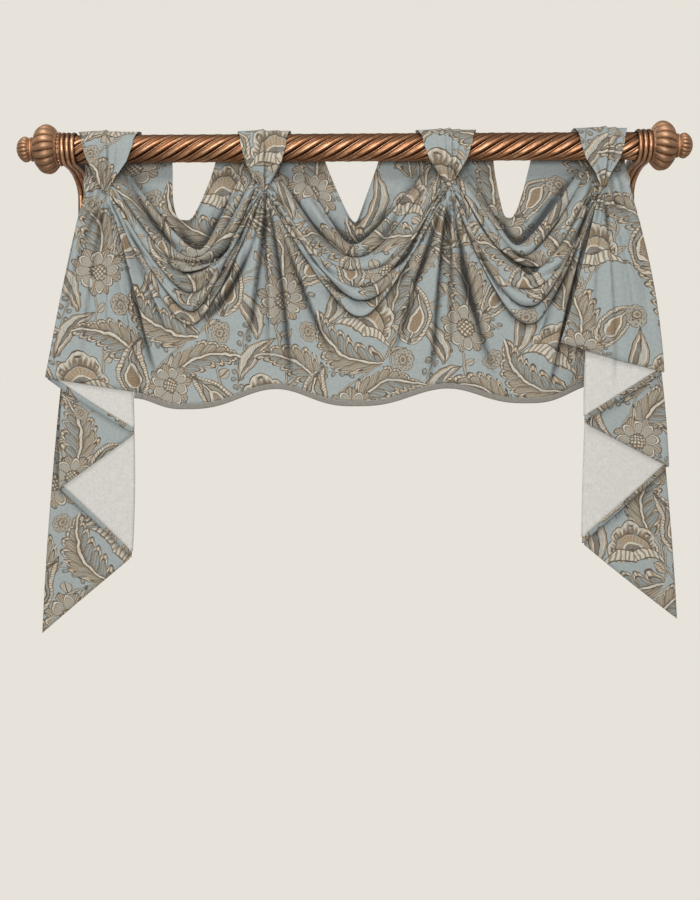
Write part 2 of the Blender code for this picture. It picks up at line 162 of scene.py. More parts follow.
def paint(red, green, blue):
    # a screen colour, 0 to 255, as the linear colour a shader takes
    shares = (value / 255 for value in (red, green, blue))
    return tuple(s / 12.92 if s <= 0.04045 else ((s + 0.055) / 1.055) ** 2.4 for s in shares)


cloth = {
    "faceThick": 1.2,
    "tailThick": 1.0,
    "liningThick": 1.0,
    "liningGap": 0.9,
    "behind": 31.5,
    "clear": 7.0,
    # hollowReach to hollowStep set the painted shade in folds and creases: how wide, how deep and how dark
    "hollowReach": 12.0,
    "hollowDeep": 13.0,
    "creaseReach": 2.8,
    "creaseDeep": 4.5,
    "creaseShare": 0.85,  # how dark a narrow crease's painted shade is beside a wide hollow's
    "hollowDark": 0.92,
    "hollowStep": 2.5,
}

gather = namedtuple("gather", "x z depth tabDepth")
gathers = (
    gather(-495, -92, -36, -41),
    gather(-175, -90, -20, -26),
    gather(204, -82, -20, -26),
    gather(514, -90, -8, -49),
)

# fold lines of each swag, top to bottom: left end, low point, right end; a pull near 1 is a straight side.
# out is how far the cloth between this line and the next stands out, and over how far that roll hangs past
# the next line (over this line, where negative), each on the left, at the low point and on the right
fold = namedtuple(
    "fold",
    "left leftZ leftPull low lowZ depth right rightZ rightPull "
    "outLeft outLow outRight overLeft overLow overRight",
)
swags = (
    (
        fold(-370, 0, 5.0, -336, -147, 10, -274, 0, 1.6, -5, -9, -8, 0, 0, 0),
        fold(-490, 0, 1.2, -311, -217, -14, -204, 0, 1.3, 10, 17, 8, -5, -9, -4),
        fold(-495, 0, 1.4, -318, -228, -26, -175, 0, 1.5, 20, 21, 25, 5, 9, 13),
        fold(-478, -84, 1.1, -333, -252, -34, -193, -84, 2.0, 30, 26, 17, 11, 5, 10),
        fold(-482, -88, 1.25, -321, -298, -42, -186, -88, 1.4, 17, 24, 27, 9, 6, 7),
        fold(-487, -92, 1.25, -319, -335, -45, -181, -92, 1.15, 13, 15, 14, 6, 3, 3),
        fold(-491, -97, 1.3, -322, -364, -42, -178, -97, 1.25, 0, 0, 0, 0, 0, 0),
    ),
    (
        fold(-58, 0, 1.2, 12, -153, 10, 68, 0, 1.0, -6, -13, -8, 0, 0, 0),
        fold(-120, 0, 1.35, 8, -211, -14, 190, 0, 1.2, 8, 16, 10, -5, -9, -4),
        fold(-175, 0, 1.35, 11, -230, -27, 204, 0, 1.4, 27, 21, 17, 13, 8, 8),
        fold(-158, -80, 1.65, 14, -252, -36, 186, -76, 2.1, 21, 28, 26, 7, 9, 6),
        fold(-163, -85, 1.45, 14, -286, -43, 190, -80, 1.7, 26, 21, 15, 9, 6, 7),
        fold(-168, -90, 1.3, 22, -315, -44, 195, -84, 1.5, 13, 15, 12, 5, 3, 4),
        fold(-172, -95, 1.2, 20, -350, -41, 200, -89, 1.25, 0, 0, 0, 0, 0, 0),
    ),
    (
        fold(299, 0, 3.0, 331, -146, 10, 383, 0, 1.4, -7, -9, -6, 0, 0, 0),
        fold(222, 0, 1.2, 345, -213, -14, 509, 0, 1.1, 8, 17, 12, -5, -9, -4),
        fold(204, 0, 1.25, 352, -229, -27, 514, 0, 1.3, 19, 20, 26, 8, 7, 11),
        fold(221, -76, 1.75, 376, -250, -36, 496, -84, 1.15, 27, 24, 28, 10, 9, 9),
        fold(216, -80, 1.8, 357, -292, -43, 500, -88, 1.7, 19, 26, 18, 9, 5, 6),
        fold(212, -85, 1.6, 360, -330, -45, 505, -92, 1.4, 16, 16, 12, 5, 3, 4),
        fold(208, -90, 1.5, 363, -367, -42, 510, -97, 1.25, 0, 0, 0, 0, 0, 0),
    ),
)
scallop = namedtuple("scallop", "left leftZ low lowZ right rightZ depth")
scallops = (
    scallop(-441, -504, -337, -527, -152, -487, -34),
    scallop(-152, -487, 10, -523, 197, -488, -34),
    scallop(197, -488, 360, -519, 508, -480, -34),
)

# troughs that fall from the gathers; steep is 1 where the right bank is the steep one and -1 for the left
furrow = namedtuple("furrow", "topX midX midZ footX footZ sink width steep")
furrows = (
    furrow(-489, -456, -334, -427, -490, 28, 15, 1),
    furrow(-486, -440, -290, -404, -430, 32, 17, 1),
    furrow(-482, -415, -270, -380, -360, 18, 11, 1),
    furrow(-184, -231, -262, -300, -352, 20, 14, -1),
    furrow(-176, -190, -250, -208, -380, 20, 14, -1),
    furrow(-167, -140, -255, -120, -450, 28, 18, 1),
    furrow(-163, -95, -288, -50, -400, 24, 16, 1),
    furrow(-174, -168, -270, -165, -420, 14, 9, 1),
    furrow(197, 177, -288, 164, -440, 25, 17, -1),
    furrow(190, 126, -296, 98, -390, 22, 15, -1),
    furrow(206, 210, -260, 208, -400, 14, 9, 1),
    furrow(212, 246, -282, 282, -430, 26, 17, 1),
    furrow(503, 461, -255, 414, -450, 28, 14, -1),
    furrow(500, 432, -240, 392, -370, 18, 13, -1),
)
# single creases over the folds, each a curve through four places; the bank on its lower side stands up
crease = namedtuple("crease", "x1 z1 x2 z2 x3 z3 x4 z4 sink width")
creases = (
    crease(-456, -57, -407, -146, -362, -199, -326, -223, 8, 8),
    crease(-391, -57, -370, -122, -346, -173, -322, -203, 5, 8),
    crease(-216, -61, -242, -101, -267, -146, -291, -203, 9, 6),
    crease(-252, -57, -271, -101, -285, -142, -299, -179, 5, 7),
    crease(-462, -158, -429, -209, -393, -258, -346, -319, 7, 4),
    crease(-206, -122, -224, -195, -248, -248, -293, -293, 8, 4),
    crease(-195, -101, -222, -209, -258, -282, -311, -337, 7, 4),
    crease(-185, -112, -212, -215, -248, -305, -305, -358, 7, 7),
    crease(-472, -193, -452, -289, -423, -350, -374, -390, 5, 8),
    crease(-381, -248, -346, -264, -295, -260, -252, -228, 10, 4),
    crease(-236, -196, -264, -226, -300, -243, -352, -250, 27, 9),
    crease(-392, -222, -353, -235, -311, -238, -270, -230, 11, 4),
    crease(-386, -230, -363, -249, -337, -263, -300, -268, 9, 4),
    crease(296, -205, 330, -224, 365, -240, 402, -250, 10, 5),
    crease(-102, -53, -69, -112, -41, -158, 0, -211, 9, 6),
    crease(-136, -57, -102, -122, -65, -179, -24, -223, 7, 6),
    crease(163, -57, 120, -103, 85, -166, 53, -203, 9, 6),
    crease(106, -57, 85, -91, 67, -132, 49, -175, 5, 7),
    crease(-153, -101, -110, -154, -65, -211, -10, -252, 10, 5),
    crease(-90, -225, -57, -252, -20, -276, 14, -295, 7, 5),
    crease(-102, -223, -65, -264, -35, -293, 4, -309, 8, 5),
    crease(134, -195, 110, -236, 77, -260, 33, -293, 9, 5),
    crease(169, -118, 144, -175, 118, -223, 81, -268, 7, 4),
    crease(185, -132, 163, -213, 126, -284, 71, -335, 7, 7),
    crease(240, -57, 269, -101, 299, -150, 338, -203, 9, 6),
    crease(289, -57, 303, -114, 317, -150, 334, -179, 5, 7),
    crease(474, -57, 431, -97, 391, -150, 354, -203, 9, 6),
    crease(222, -81, 260, -142, 285, -187, 317, -232, 8, 4),
    crease(499, -101, 480, -150, 452, -203, 403, -248, 10, 5),
    crease(226, -112, 256, -187, 293, -248, 334, -297, 7, 4),
    crease(450, -223, 427, -252, 397, -272, 354, -301, 8, 5),
    crease(218, -122, 248, -199, 283, -268, 315, -325, 7, 4),
    crease(476, -173, 454, -234, 419, -305, 370, -362, 7, 6),
    crease(228, -223, 236, -285, 252, -335, 265, -366, 10, 6),
)
tailCreases = {
    "left": (
        crease(-518, -50, -527, -90, -533, -124, -541, -175, 8, 6),
        crease(-508, -45, -512, -92, -517, -140, -522, -205, 7, 6),
        crease(-532, -30, -541, -75, -548, -120, -556, -170, 5, 6),
    ),
    "right": (
        crease(528, -45, 535, -88, 541, -128, 549, -190, 8, 6),
        crease(545, -30, 552, -80, 560, -120, 571, -175, 6, 6),
        crease(520, -60, 521, -110, 522, -160, 524, -230, 7, 6),
    ),
}
tailFurrows = {
    "left": (
        furrow(-501, -526, -240, -546, -400, 15, 12, -1),
        furrow(-497, -497, -240, -500, -380, 12, 11, 1),
        furrow(-503, -554, -220, -580, -340, 11, 10, -1),
        furrow(-494, -474, -230, -462, -360, 9, 10, 1),
    ),
    "right": (
        furrow(518, 527, -240, 532, -440, 15, 13, -1),
        furrow(524, 556, -240, 574, -420, 14, 12, 1),
        furrow(514, 500, -230, 488, -380, 10, 11, -1),
        furrow(530, 584, -220, 604, -340, 12, 10, 1),
    ),
}

panel = {
    "halfColumns": 50,  # columns on each side of a swag's low point
    "lineSteps": 240,  # places worked out along half a line before they are spaced evenly
    "foldGap": 1.6,  # how far behind a lip the cloth beside it stays
    "rollSteps": 20,  # rows in a roll
    "rollSpread": 20,  # lines closer than this hold a flatter roll
    "lipSpread": 24,  # and a shorter lip
    "unevenness": 0.38,
    "streaks": 5.0,
    "apronRows": 40,
    "lowRound": 0.09,  # how blunt a fold is at its low point
    "scallopPull": 1.45,
    "spineRises": (0, 0, 0, 9, 4, -1, -6),
    "hemEndDepths": (-34, -34, -34, -6),
    "behindFrom": -20,  # the height where the cloth leaves the pole's back, and where it is all in front:
    "behindToGather": -88,  # at a gather, and
    "behindToOpen": -150,  # under a cut-out, this far from the gather
    "openReach": 90,
    "furrowTop": -104,
    "pleatDepth": 11.0,
    "pleatFrom": 26,  # from a gather to where its pleats are deepest
    "pleatReach": 165,
    "pleatCount": 13,
    "pleatFan": 1.1,  # how far round a gather they go, in radians from straight down
    "hiddenCloth": 34.0,  # length of the print that each fold hides
    "clearFrom": -90,  # the height below which the panel's sides are kept clear of the tails
    "clearReach": 14,
    "tailNear": 6,  # how far in from a tail's edge they are wholly clear of it, and
    "tailFar": 34,  # over how much more this fades
    "wrinkle": 2.4,
    "creased": 1.5,  # how far the single creases sink
    "creaseSteps": 60,
}

# a roll's section: share of the way to the next line, how far out, and how much of the lip hangs past it
rollShape = np.array(
    [
        (0.00, -0.60, 0.00),
        (0.02, -0.22, 0.00),
        (0.07, 0.08, 0.00),
        (0.18, 0.34, 0.00),
        (0.36, 0.62, 0.00),
        (0.55, 0.84, 0.00),
        (0.72, 0.98, 0.08),
        (0.86, 1.00, 0.40),
        (0.95, 0.86, 0.86),
        (1.00, 0.60, 1.00),
        (1.00, 0.30, 0.80),
        (1.00, 0.00, 0.45),
        (1.00, -0.32, 0.15),
        (1.00, -0.60, 0.00),
    ]
)


def ease(x):
    x = np.clip(x, 0.0, 1.0)
    return x * x * (3.0 - 2.0 * x)


def runAlong(line):
    # how far along a line each of its points lies
    return np.concatenate([[0.0], np.cumsum(np.linalg.norm(np.diff(line, axis=0), axis=1))])


def evenSamples(curve, count):
    along = runAlong(curve)
    wanted = np.linspace(0.0, along[-1], count)
    return np.stack([np.interp(wanted, along, curve[:, k]) for k in range(curve.shape[1])], axis=1)


def halfLine(low, lowZ, depth, end, endZ, pull, spine, endDepth):
    # one side of a fold line, from its low point to its end and on to the gather
    t = np.linspace(0.0, 1.0, panel["lineSteps"])
    soft = panel["lowRound"]
    blunt = (np.hypot(t, soft) - soft) / (math.hypot(1, soft) - soft)
    x = low + (end - low) * t
    y = depth + (endDepth - depth) * t**2
    curve = np.stack([x, y, lowZ + (endZ - lowZ) * blunt**pull], axis=1)
    if spine is not None:
        curve = np.vstack([curve, [spine[0], endDepth, spine[1]]])
    return evenSamples(curve, panel["halfColumns"] + 1)


def bothSides(left, right):
    # two half lines from one low point as a line from left to right
    return np.vstack([left[::-1], right[1:]])


def scallopLine(edge, leftDepth, rightDepth):
    halves = []
    for end, endZ, endDepth in ((edge.left, edge.leftZ, leftDepth), (edge.right, edge.rightZ, rightDepth)):
        t = np.linspace(0.0, 1.0, panel["lineSteps"])
        wave = ((1 - np.cos(math.pi * t)) / 2) ** panel["scallopPull"]
        x = edge.low + (end - edge.low) * t
        y = edge.depth + (endDepth - edge.depth) * wave
        curve = [x, y, edge.lowZ + (endZ - edge.lowZ) * wave]
        halves.append(evenSamples(np.stack(curve, axis=1), panel["halfColumns"] + 1))
    return bothSides(*halves)


def swagLines(index):
    left, right = gathers[index], gathers[index + 1]
    rows = []
    for line, rise in zip(swags[index], panel["spineRises"]):
        halves = []
        for end, endZ, pull, knot in (
            (line.left, line.leftZ, line.leftPull, left),
            (line.right, line.rightZ, line.rightPull, right),
        ):
            spine = (knot.x, knot.z + rise) if endZ < 0 else None
            halves.append(halfLine(line.low, line.lowZ, line.depth, end, endZ, pull, spine, knot.depth))
        rows.append(bothSides(*halves))
    rows.append(scallopLine(scallops[index], panel["hemEndDepths"][index], panel["hemEndDepths"][index + 1]))
    return rows


def behindPole(points):
    # takes the panel back behind the pole where it rises to it
    away = np.min([np.abs(points[..., 0] - knot.x) for knot in gathers], axis=0)
    deeper = panel["behindToOpen"] - panel["behindToGather"]
    front = panel["behindToGather"] + deeper * ease(away / panel["openReach"])
    share = ease((points[..., 2] - front) / (panel["behindFrom"] - front))
    points[..., 1] += (cloth["behind"] - points[..., 1]) * share
    return points


def sinkFurrows(points, troughs, strength):
    x, z = points[..., 0], points[..., 2]
    top = panel["furrowTop"]
    for trough in troughs:
        bend = np.polyfit((top, trough.midZ, trough.footZ), (trough.topX, trough.midX, trough.footX), 2)
        drop = (z - top) / (trough.footZ - top)
        fade = ease(drop * 6) * ease((1.25 - drop) * 2.2)  # in below its top, out a quarter past its foot
        across = (x - np.polyval(bend, z)) / (trough.width * (0.45 + 0.7 * np.clip(drop, 0, 1)))
        across *= trough.steep
        # a valley on one side of its line, a lower ridge on the other, and a steep bank between
        valley = 0.85 * np.exp(-np.abs(np.minimum(across, 0)) / 1.5)
        ridge = -0.5 * np.exp(-np.maximum(across, 0) / 2.0)
        bank = valley + (ridge - valley) * ease((across + 0.3) / 0.6)
        points[..., 1] += strength * fade * trough.sink * bank
    return points


def sinkCreases(points, lines):
    places = points[..., [0, 2]].reshape(-1, 2)
    thirds = np.array([0.0, 1 / 3, 2 / 3, 1.0])
    t = np.linspace(0, 1, panel["creaseSteps"] + 1)
    for line in lines:
        knots = np.array(line[:8]).reshape(4, 2)
        curve = np.stack([np.polyval(np.polyfit(thirds, knots[:, k], 3), t) for k in range(2)], axis=1)
        reach = 5 * line.width
        low, high = curve.min(axis=0) - reach, curve.max(axis=0) + reach
        near = np.where(np.all((places > low) & (places < high), axis=1))[0]
        away = places[near, None] - curve[None]
        closest = np.argmin(np.sum(away**2, axis=2), axis=1)
        tangent = np.gradient(curve, axis=0)
        tangent /= np.linalg.norm(tangent, axis=1)[:, None]
        offset = away[np.arange(len(near)), closest]
        here = tangent[closest]
        side = offset[:, 0] * here[:, 1] - offset[:, 1] * here[:, 0]
        side *= np.sign(curve[-1, 0] - curve[0, 0]) / line.width  # above the line is negative
        fade = np.sin(math.pi * t[closest]) ** 0.6
        # sunk on its line, and raised two widths below it
        bank = np.exp(-(np.abs(side) ** 1.3)) - 0.45 * np.exp(-(((side - 2.0) / 1.4) ** 2))
        points.reshape(-1, 3)[near, 1] += panel["creased"] * line.sink * fade * bank
    return points


def gatherPleats(points):
    # fine pleats that fan out below each gather
    for number, knot in enumerate(gathers):
        dx, dz = points[..., 0] - knot.x, knot.z - points[..., 2]
        reach = np.hypot(dx, dz)
        turn = np.arctan2(dx, dz)
        fade = ease(reach / panel["pleatFrom"])
        size = panel["pleatDepth"] * fade * ease(1 - reach / panel["pleatReach"]) ** 1.3
        wave = np.sin(panel["pleatCount"] * turn + 1.7 * number + 0.9 * np.sin(3 * turn + number))
        below = ease((panel["pleatFan"] - np.abs(turn)) / 0.35)
        points[..., 1] += size * below * (0.5 - np.abs(wave)) * 1.3
    return points


def wrinkled(points, amount, scale=(0.017, 0.017), seed=0.0):
    flatPoints = points.reshape(-1, 3)
    for point in flatPoints:
        place = Vector((point[0] * scale[0] + seed, point[2] * scale[1], seed))
        point[1] += amount * (noise.noise(place) + 0.45 * noise.noise(place * 2.6))
    return points


def streaks(across, place):
    # long uneven ridges that run with the folds
    return np.array([noise.noise(Vector((2.4 * x, 3.1 * place, place))) for x in across])


def spreadOver(across, left, low, right):
    return np.interp(across, (-1, -0.5, 0, 0.5, 1), (0.75 * left, left, low, right, 0.75 * right))


def tuckFolds(points, headings, lines):
    # keeps the cloth next to each fold line behind the lip that hangs or stands over it
    steps, apart = panel["rollSteps"], panel["foldGap"]
    for number in range(len(lines) - 1):
        turnRow = (number + 1) * steps
        standing = lines[number + 1].overLow < 0
        if not standing and lines[number].overLow <= 0:
            continue
        if standing:
            lip, under = points[turnRow : turnRow + steps], points[turnRow - 1 : turnRow - steps : -1]
        else:
            lip, under = points[turnRow : turnRow - steps : -1], points[turnRow + 1 : turnRow + steps]
        way = -headings[turnRow] if standing else headings[turnRow - 1]
        for column in range(1, points.shape[1] - 1):
            home = points[turnRow, column, [0, 2]]
            lipReach = (lip[:, column][:, [0, 2]] - home) @ way[column]
            turn = int(np.argmax(lipReach))
            if number + 2 == len(lines):  # the plain cloth below it starts flat, so this lip stays before it
                before = points[turnRow, column, 1] - apart * np.minimum(1.0, lipReach[1:turn] / 2)
                lip[1:turn, column, 1] = np.minimum(lip[1:turn, column, 1], before)
            underReach = (under[:, column][:, [0, 2]] - home) @ way[column]
            hidden = (underReach > 0) & (underReach < lipReach[turn])
            rising = np.maximum.accumulate(lipReach[: turn + 1])
            limit = np.interp(underReach, rising, lip[: turn + 1, column, 1])
            limit += apart * np.minimum(1.0, underReach / 2)  # that much further back
            under[hidden, column, 1] = np.maximum(under[hidden, column, 1], limit[hidden])
    return points


def swagSurface(index):
    # rows of points over one swag, the way down the cloth at each, and the rows without their small ridges
    lines = swagLines(index)
    across = np.linspace(-1, 1, 2 * panel["halfColumns"] + 1)
    fullness = 1 - np.abs(across) ** 6
    steps = np.linspace(0, 1, panel["rollSteps"] + 1)
    knots = np.linspace(0, 1, len(rollShape))
    hanging = np.stack([np.interp(steps, knots, rollShape[:, k]) for k in range(3)], axis=1)
    standing = hanging[::-1] * (-1, 1, 1) + (1, 0, 0)  # upside down: it covers the line above it
    rows, headings, plain = [], [], []
    for number, (line, upper, lower) in enumerate(zip(swags[index], lines[:-1], lines[1:])):
        gap = (lower - upper)[:, [0, 2]]
        spread = np.linalg.norm(gap, axis=1)
        heading = gap / np.maximum(spread, 1e-6)[:, None]
        if lower is lines[-1]:
            for share in np.arange(panel["apronRows"]) / panel["apronRows"]:
                plain.append(upper + (lower - upper) * share)
                rows.append(sinkFurrows(plain[-1].copy(), furrows, ease(share * 5)))
                headings.append(heading)
            continue
        size = spreadOver(across, line.outLeft, line.outLow, line.outRight) * fullness
        size = size * np.tanh(spread / panel["rollSpread"])
        lip = spreadOver(across, line.overLeft, line.overLow, line.overRight) * fullness
        lip = lip * np.minimum(1.0, spread / panel["lipSpread"])
        uneven = 1 + panel["unevenness"] * streaks(across, 5.3 * index + 1.7 * number + 0.4)
        for share, out, hang in (standing if line.overLow < 0 else hanging)[:-1]:
            row = upper + (lower - upper) * share
            row[:, [0, 2]] += heading * (lip * hang)[:, None]
            row[:, 1] -= size * uneven * out
            plain.append(row.copy())
            streak = streaks(across, index * 9 + len(rows) / panel["rollSteps"])
            row[:, 1] -= panel["streaks"] * fullness * streak
            rows.append(row)
            headings.append(heading)
    plain.append(lines[-1])
    rows.append(sinkFurrows(lines[-1].copy(), furrows, 0.8))
    headings.append(headings[-1])
    tucked = tuckFolds(np.array(rows), headings, swags[index])
    surface = gatherPleats(sinkCreases(tucked, creases))
    return behindPole(surface), np.array(headings), behindPole(np.array(plain))


def unrolled(surface, headings):
    # each roll laid flat from its lower crease up, and the apron from its hem up, in metres
    lengths = np.linalg.norm(np.diff(surface, axis=0), axis=2)
    moves = -headings[:-1] * lengths[..., None]
    flat = surface[..., [0, 2]].copy()
    rolls = len(swags[0]) - 1
    starts = [number * panel["rollSteps"] for number in range(rolls + 1)] + [len(surface) - 1]
    for number, (first, last) in enumerate(zip(starts[:-1], starts[1:])):
        above = np.cumsum(moves[first:last][::-1], axis=0)[::-1]
        flat[first:last] = flat[last] + above + (0, panel["hiddenCloth"] * (rolls - number))
    return flat * mm


def bySide(flat):
    # flat places at the two sides of every column of faces
    return np.stack([flat[:, :-1], flat[:, 1:]], axis=2)


def hollows(surface, reach, deep):
    # painted shade share: 0 where the cloth stands out to the room and up to 1 where it lies in a crease or
    # behind a fold
    step, far = cloth["hollowStep"], 1e3
    x, z = surface[..., 0].ravel(), surface[..., 2].ravel()
    column = ((x - x.min()) / step).astype(int)
    row = ((z - z.min()) / step).astype(int)
    front = np.full((row.max() + 1, column.max() + 1), far)
    np.minimum.at(front, (row, column), surface[..., 1].ravel())
    known = (front < far).astype(float)
    front *= known
    spread = int(3 * reach / step)
    bell = np.exp(-0.5 * (np.arange(-spread, spread + 1) * step / reach) ** 2)
    for axis in (0, 1):
        front = np.apply_along_axis(np.convolve, axis, front, bell, "same")
        known = np.apply_along_axis(np.convolve, axis, known, bell, "same")
    behind = surface[..., 1].ravel() - (front / np.maximum(known, 1e-6))[row, column]
    return ease(behind / deep)


def shadeOf(surface):
    # painted shade of the wide hollows with the narrow creases in them
    wide = hollows(surface, cloth["hollowReach"], cloth["hollowDeep"])
    narrow = hollows(surface, cloth["creaseReach"], cloth["creaseDeep"])
    return np.maximum(wide, cloth["creaseShare"] * narrow)


def sheetPiece(name, surface, flat, thick, face, back=None, leftward=False, hemFrom=None, shade=None):
    # a cloth about a grid of points, its rows from the top down, its columns from left to right or leftward
    rows, columns = surface.shape[:2]
    form = bmesh.new()
    form.loops.layers.uv.new("clothFlat")
    bmesh.ops.create_grid(form, x_segments=columns - 1, y_segments=rows - 1, size=0.5)
    if not leftward:
        bmesh.ops.reverse_faces(form, faces=form.faces)  # the print faces the room
    mesh = bpy.data.meshes.new(name)
    form.to_mesh(mesh)
    form.free()
    mesh.vertices.foreach_set("co", (drapeMiddle + surface.reshape(-1, 3) * mm).ravel())
    corner = np.empty(len(mesh.loops), dtype=np.int64)
    mesh.loops.foreach_get("vertex_index", corner)
    column = np.repeat(np.arange(len(mesh.polygons)) % (columns - 1), 4)
    places = flat[corner // columns, column, corner % columns - column]
    mesh.uv_layers[0].data.foreach_set("uv", places.ravel())
    # the painted fold shade, which darkens the print's colour
    hollow = mesh.attributes.new("hollow", "FLOAT", "POINT")
    hollow.data.foreach_set("value", shadeOf(surface) if shade is None else shade)
    for finish in (face, back or face, face, face)[: 2 if hemFrom is None else 4]:
        mesh.materials.append(finish.material)
    if hemFrom is not None:  # from this row down the back is face cloth too, as in a turned hem
        low = np.arange(len(mesh.polygons)) // (columns - 1) >= hemFrom
        mesh.polygons.foreach_set("material_index", np.where(low, 2, 0).astype(np.int32))
    mesh.shade_smooth()
    made = bpy.data.objects.new(name, mesh)
    bpy.context.collection.objects.link(made)
    wall = made.modifiers.new("thickness", "SOLIDIFY")
    wall.thickness = thick * mm
    wall.offset = 0.0
    wall.material_offset = 1
    wall.use_even_offset = False
    return made


def clearOfTails(points):
    # below the gathers the panel's left edge lies over its tail, and its right edge lies under the other one
    x, z = points[..., 0], points[..., 2]
    below = ease((panel["clearFrom"] - z) / panel["clearReach"])
    for side, toRoom in (("left", 1), ("right", -1)):
        line = tails[side][0]
        inner = edgeX(line, z)
        front = layerDepth(line, 0, z, line.footZ) - toRoom * cloth["clear"]
        near = below * (1 - ease(((x - inner) * toRoom - panel["tailNear"]) / panel["tailFar"]))
        kept = np.minimum(points[..., 1], front) if toRoom > 0 else np.maximum(points[..., 1], front)
        points[..., 1] += (kept - points[..., 1]) * near
    return points


def panelParts():
    # the three swags side by side as one grid; neighbours share the column under their gather
    parts = [swagSurface(index) for index in range(len(swags))]
    joined = [[part[:, 1 if number else 0 :] for number, part in enumerate(kind)] for kind in zip(*parts)]
    surface, headings, plain = (np.concatenate(kind, axis=1) for kind in joined)
    return clearOfTails(wrinkled(surface, panel["wrinkle"])), unrolled(plain, headings)


tab = namedtuple("tab", "backX backW topX topW frontX frontW lowX lowW tipX tipW lift")
tabs = (
    tab(-490, 116, -493, 130, -493, 80, -495, 44, -495, 14, 3),
    tab(-176, 112, -175, 110, -175, 76, -176, 44, -174, 13, 3),
    tab(200, 112, 199, 126, 201, 76, 202, 40, 203, 14, 3),
    tab(506, 110, 517, 112, 516, 70, 514, 32, 512, 13, 5),
)
# pressed pleats down each tab: place across it at its top and foot (0 left, 1 right), its height and width
pleat = namedtuple("pleat", "top foot step width")
tabPleats = (
    (pleat(0.44, 0.52, 2.4, 0.05), pleat(0.62, 0.72, 0.7, 0.05), pleat(0.25, 0.30, 0.6, 0.05)),
    (pleat(0.48, 0.52, 2.2, 0.05), pleat(0.80, 0.72, 0.7, 0.06)),
    (pleat(0.56, 0.56, 2.2, 0.04), pleat(0.40, 0.44, 1.3, 0.04), pleat(0.72, 0.70, 1.0, 0.04)),
    (pleat(0.58, 0.60, 2.2, 0.05), pleat(0.78, 0.76, 1.2, 0.05), pleat(0.35, 0.42, 0.6, 0.05)),
)
tabSizes = {
    "clear": 31.2,  # the tab's radius round the pole
    "columns": 60,
    "rows": 70,
    "pleatRise": 3.8,
    "folds": 2.4,
    "foldDepth": 5.0,
    "foldsFrom": 0.42,  # share of the way down where they begin
    "frontZ": -33,  # where the straight front ends and the taper to the point begins
    "shadeFrom": -4,  # depth in front of the pole's axis where the fold shading starts
    "shadeReach": 10,
    "printApart": 40,
}


def tabRoute(shape, knot):
    # stations down the tab: middle, width, depth, height, and the direction out of the cloth
    clear = tabSizes["clear"]
    route = [(shape.backX, shape.backW, clear, 1.5)]
    for degrees in range(170, 0, -12):  # from the pole's back over its top to its front
        turn = math.radians(degrees)
        over = (180 - degrees) / 160
        middle = np.interp(over, (0, 0.55, 1), (shape.backX, shape.topX, shape.frontX))
        width = np.interp(over, (0, 0.55, 1), (shape.backW, shape.topW, 0.5 * (shape.topW + shape.frontW)))
        radius = clear + shape.lift * math.sin(turn) ** 4
        route.append((middle, width, -radius * math.cos(turn), radius * math.sin(turn)))
    route.append((shape.frontX, 0.68 * shape.frontW + 0.32 * shape.topW, -clear - 1, -10))
    route.append((shape.frontX, shape.frontW, -clear - 1.5, tabSizes["frontZ"]))
    lowZ = 0.45 * tabSizes["frontZ"] + 0.55 * knot.z
    route.append((shape.lowX, shape.lowW, 0.4 * (-clear - 2) + 0.6 * knot.tabDepth, lowZ))
    route.append((shape.tipX, shape.tipW, knot.tabDepth, knot.z + 2))
    route.append((shape.tipX, shape.tipW * 0.6, knot.tabDepth + 0.5, knot.z - 4))
    return evenSamples(np.array(route, dtype=float), tabSizes["rows"])


def tabSurface(number):
    route = tabRoute(tabs[number], gathers[number])
    middle, width, depth, height = route.T
    across = np.linspace(0, 1, tabSizes["columns"])
    heading = np.gradient(np.stack([depth, height], axis=1), axis=0)
    heading /= np.linalg.norm(heading, axis=1)[:, None]
    outDepth, outHeight = heading[:, 1], -heading[:, 0]
    down = np.linspace(0, 1, len(route))
    lift = np.zeros((len(route), len(across)))
    for press in tabPleats[number]:
        place = press.top + (press.foot - press.top) * down
        offset = (across[None] - place[:, None]) / press.width
        # a step that slopes away slowly on the left of its line and drops at once on the right
        lift += press.step * np.where(offset < 0, np.exp(offset / 3), np.exp(-((offset * 2.2) ** 2)))
    lift *= (tabSizes["pleatRise"] * np.minimum(1.0, width / 60) * ease((down - 0.1) * 3))[:, None]
    # folds that gather towards the point
    gathered = tabSizes["foldDepth"] * ease((down - tabSizes["foldsFrom"]) / 0.5)
    gathered = gathered * np.minimum(1.0, width / 34)
    waves = np.abs(np.sin(math.pi * (tabSizes["folds"] * across + 0.37 * number + 0.2)))
    lift += gathered[:, None] * (waves - 0.5)[None]
    x = middle[:, None] + (across[None] - 0.5) * width[:, None]
    y = depth[:, None] + lift * outDepth[:, None]
    z = height[:, None] + lift * outHeight[:, None]
    surface = np.stack([x, y, z], axis=2)
    along = np.concatenate([[0], np.cumsum(np.hypot(np.diff(depth), np.diff(height)))])
    flat = [x + tabSizes["printApart"] * number, np.broadcast_to(-along[:, None], x.shape)]
    return surface, np.stack(flat, axis=2) * mm


